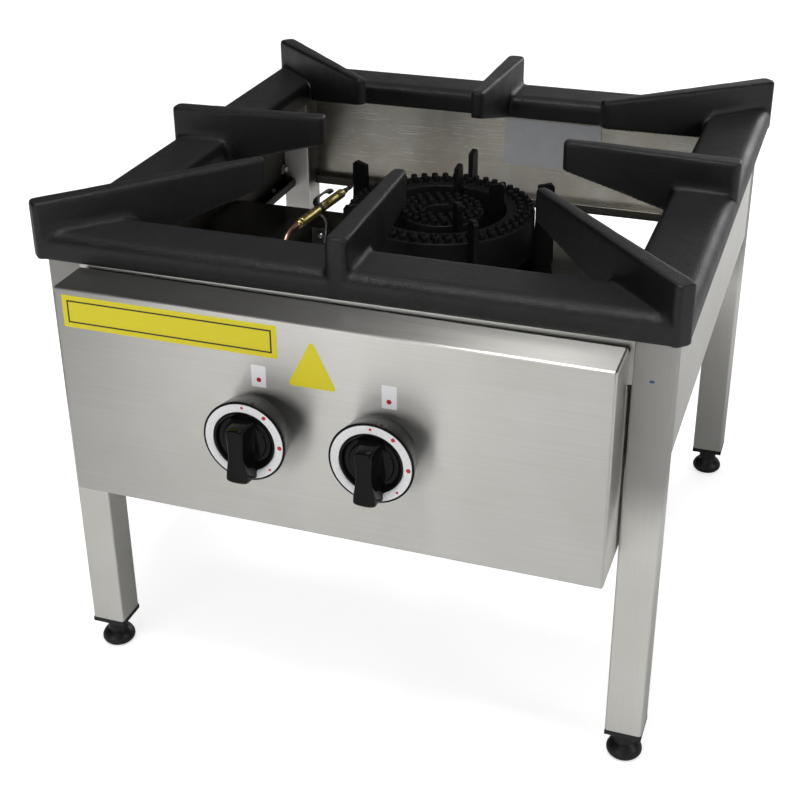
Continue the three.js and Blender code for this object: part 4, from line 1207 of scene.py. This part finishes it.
film("sticker_long", corners_of(*LONG_STICKER), 0.8, sticker_yellow)
border_line("sticker_long_border", LONG_BORDER, BORDER_WIDE, sticker_edge)
film("sticker_triangle", TRIANGLE, 2.0, sticker_yellow)
for name, box, (dot_x, dot_z) in TABS:
    film(f"marker_tab_{name}", corners_of(*box), 0.5, sticker_white)
    tab_dot = turned([(0, 0), (1.9, 0), (1.9, 0.05), (0, 0.05)],
                     lambda x, y, h: spot(dot_x + x, STICKER_FACE - h, dot_z + y), 24)
    make_piece(f"marker_dot_{name}", tab_dot, dot_red, "chassis", "label")
paint_dot = turned([(0, 0), (1.7, 0), (1.5, 0.08), (0, 0.1)],
                   lambda x, y, h: spot(235.2 + x * 1.2, -FRAME / 2 - GLUE - h, 354.8 + y * 0.7), 14)
make_piece("leg_paint_dot", paint_dot, dot_blue, "chassis", "label")
print("stickers: 4, and a dab of paint on a leg")

# %% [markdown]
# ## The floor
#
# The picture shows the range on plain white. The floor is a large pale sheet. What the camera
# sees of it is partly its own glow and partly the light that falls on it, so it reads as white
# and still keeps a soft shadow. The glow is for the camera alone, because a floor that shone
# would light the range from below.
#
# Steel mirrors the floor. Under and close beside the range the real floor lies in the shade,
# which makes the lower legs dark on their inner and right faces. So in reflections, and only
# there, the sheet is darker near the range.

# %% Floor
FLOOR_GLOW = 0.62
FLOOR_PALE, FLOOR_SHADY = 0.80, 0.38
SHADE_Y = (-0.27, -0.15)  # metres: the shade grows from just before the panel to just behind the front legs
SHADE_X = (0.36, 0.52)    # and it fades between these distances to the left and right
FLOOR_REACH, FLOOR_Z = 9.0, -0.0004

floor_finish = new_finish("floor_pale", (FLOOR_PALE, FLOOR_PALE, FLOOR_PALE), 0.9, Specular_IOR_Level=0.0)
path = node_of(floor_finish, "ShaderNodeLightPath")
aside = node_of(floor_finish, "ShaderNodeMath", operation="ABSOLUTE")
floor_finish.node_tree.links.new(axis_of(floor_finish, "Object", "X"), aside.inputs[0])
from_front = ranged(floor_finish, axis_of(floor_finish, "Object", "Y"), *SHADE_Y, ease="SMOOTHSTEP")
to_side = ranged(floor_finish, aside.outputs[0], *SHADE_X, 1.0, 0.0, ease="SMOOTHSTEP")
shady = times(floor_finish, times(floor_finish, from_front, to_side), path.outputs["Is Glossy Ray"])
tint(floor_finish, shady, (0, [FLOOR_PALE] * 3), (1, [FLOOR_SHADY] * 3))
glow = ranged(floor_finish, path.outputs["Is Camera Ray"], 0, 1, 0, FLOOR_GLOW)
shader_of(floor_finish).inputs["Emission Color"].default_value = (1, 1, 1, 1)
floor_finish.node_tree.links.new(glow, shader_of(floor_finish).inputs["Emission Strength"])

corners = [(x * FLOOR_REACH, y * FLOOR_REACH, FLOOR_Z) for x, y in ((-1, -1), (1, -1), (1, 1), (-1, 1))]
floor = object_of("floor", (corners, [(0, 1, 2, 3)]))
floor.data.materials.append(floor_finish)
print("floor:", 2 * FLOOR_REACH, "m square")

# %% [markdown]
# ## The room
#
# Polished metal looks like the room around it. The camera sees plain white behind the range,
# and the light that fills the shadows is an even grey. Reflections see a simple room: white
# walls near the horizon, a dark ceiling, a dark wall on the left, and a dimmer right side. These
# give the steel its gradients and the iron its black sides.

# %% World
WORLD_FILL = 0.42
CEILING = (0.02, 0.25, 1.0, 0.05)        # from this height to that one, from this strength to that one
LEFT_WALL = (-0.50, -0.20, 0.05, 1.0)    # the same, from left to right
RIGHT_WALL = (0.25, 0.55, 1.0, 0.45)

world = bpy.data.worlds.new("pale_room")
bpy.context.scene.world = world
world.use_nodes = True
background = world.node_tree.nodes["Background"]
background.inputs["Color"].default_value = (1, 1, 1, 1)
path = node_of(world, "ShaderNodeLightPath")
up, sideways = axis_of(world, "Generated", "Z"), axis_of(world, "Generated", "X")
room = times(world, ranged(world, up, *CEILING), ranged(world, sideways, *LEFT_WALL))
room = times(world, room, ranged(world, sideways, *RIGHT_WALL))
reflected = node_of(world, "ShaderNodeMix")
reflected.inputs["A"].default_value = WORLD_FILL
world.node_tree.links.new(path.outputs["Is Glossy Ray"], reflected.inputs["Factor"])
world.node_tree.links.new(room, reflected.inputs["B"])
shown = node_of(world, "ShaderNodeMix")
shown.inputs["B"].default_value = 1.0
world.node_tree.links.new(path.outputs["Is Camera Ray"], shown.inputs["Factor"])
world.node_tree.links.new(reflected.outputs["Result"], shown.inputs["A"])
world.node_tree.links.new(shown.outputs["Result"], background.inputs["Strength"])
print("room ready")

# %% [markdown]
# ## Lamps
#
# The strongest lamp is a small soft one high up and in front, which lights the tops and throws
# the soft shadow. A broad one at the front left and another at the right fill the panel and
# the side, and two behind the range draw the bright line along the grate's edges and the studs.

# %% Soft lamps
def lamp(name, place, aim, wide, high, power):
    """A soft lamp of wide by high metres at a place, turned towards its aim, in watts."""
    light = bpy.data.lights.new(name, "AREA")
    light.shape = "RECTANGLE"
    light.size, light.size_y = wide, high
    light.energy = power
    holder = bpy.data.objects.new(name, light)
    bpy.context.scene.collection.objects.link(holder)
    holder.location = place
    holder.rotation_euler = (Vector(aim) - Vector(place)).to_track_quat("-Z", "Y").to_euler()
    return holder


lamp("front", (-0.84, -2.4, 0.75), (0, 0, 0.3), 1.2, 0.9, 8.8)
lamp("high", (0.02, -0.9, 2.4), (0, 0, 0.35), 0.45, 0.5, 24)
lamp("back", (-0.12, 0.9, 2.5), (0, 0, 0.35), 0.4, 0.8, 2.2)
lamp("back_right", (1.0, 2.6, 1.0), (0, 0, 0.3), 1.0, 1.0, 11)
lamp("right", (2.2, -0.6, 1.2), (0, 0, 0.3), 1.0, 1.0, 12)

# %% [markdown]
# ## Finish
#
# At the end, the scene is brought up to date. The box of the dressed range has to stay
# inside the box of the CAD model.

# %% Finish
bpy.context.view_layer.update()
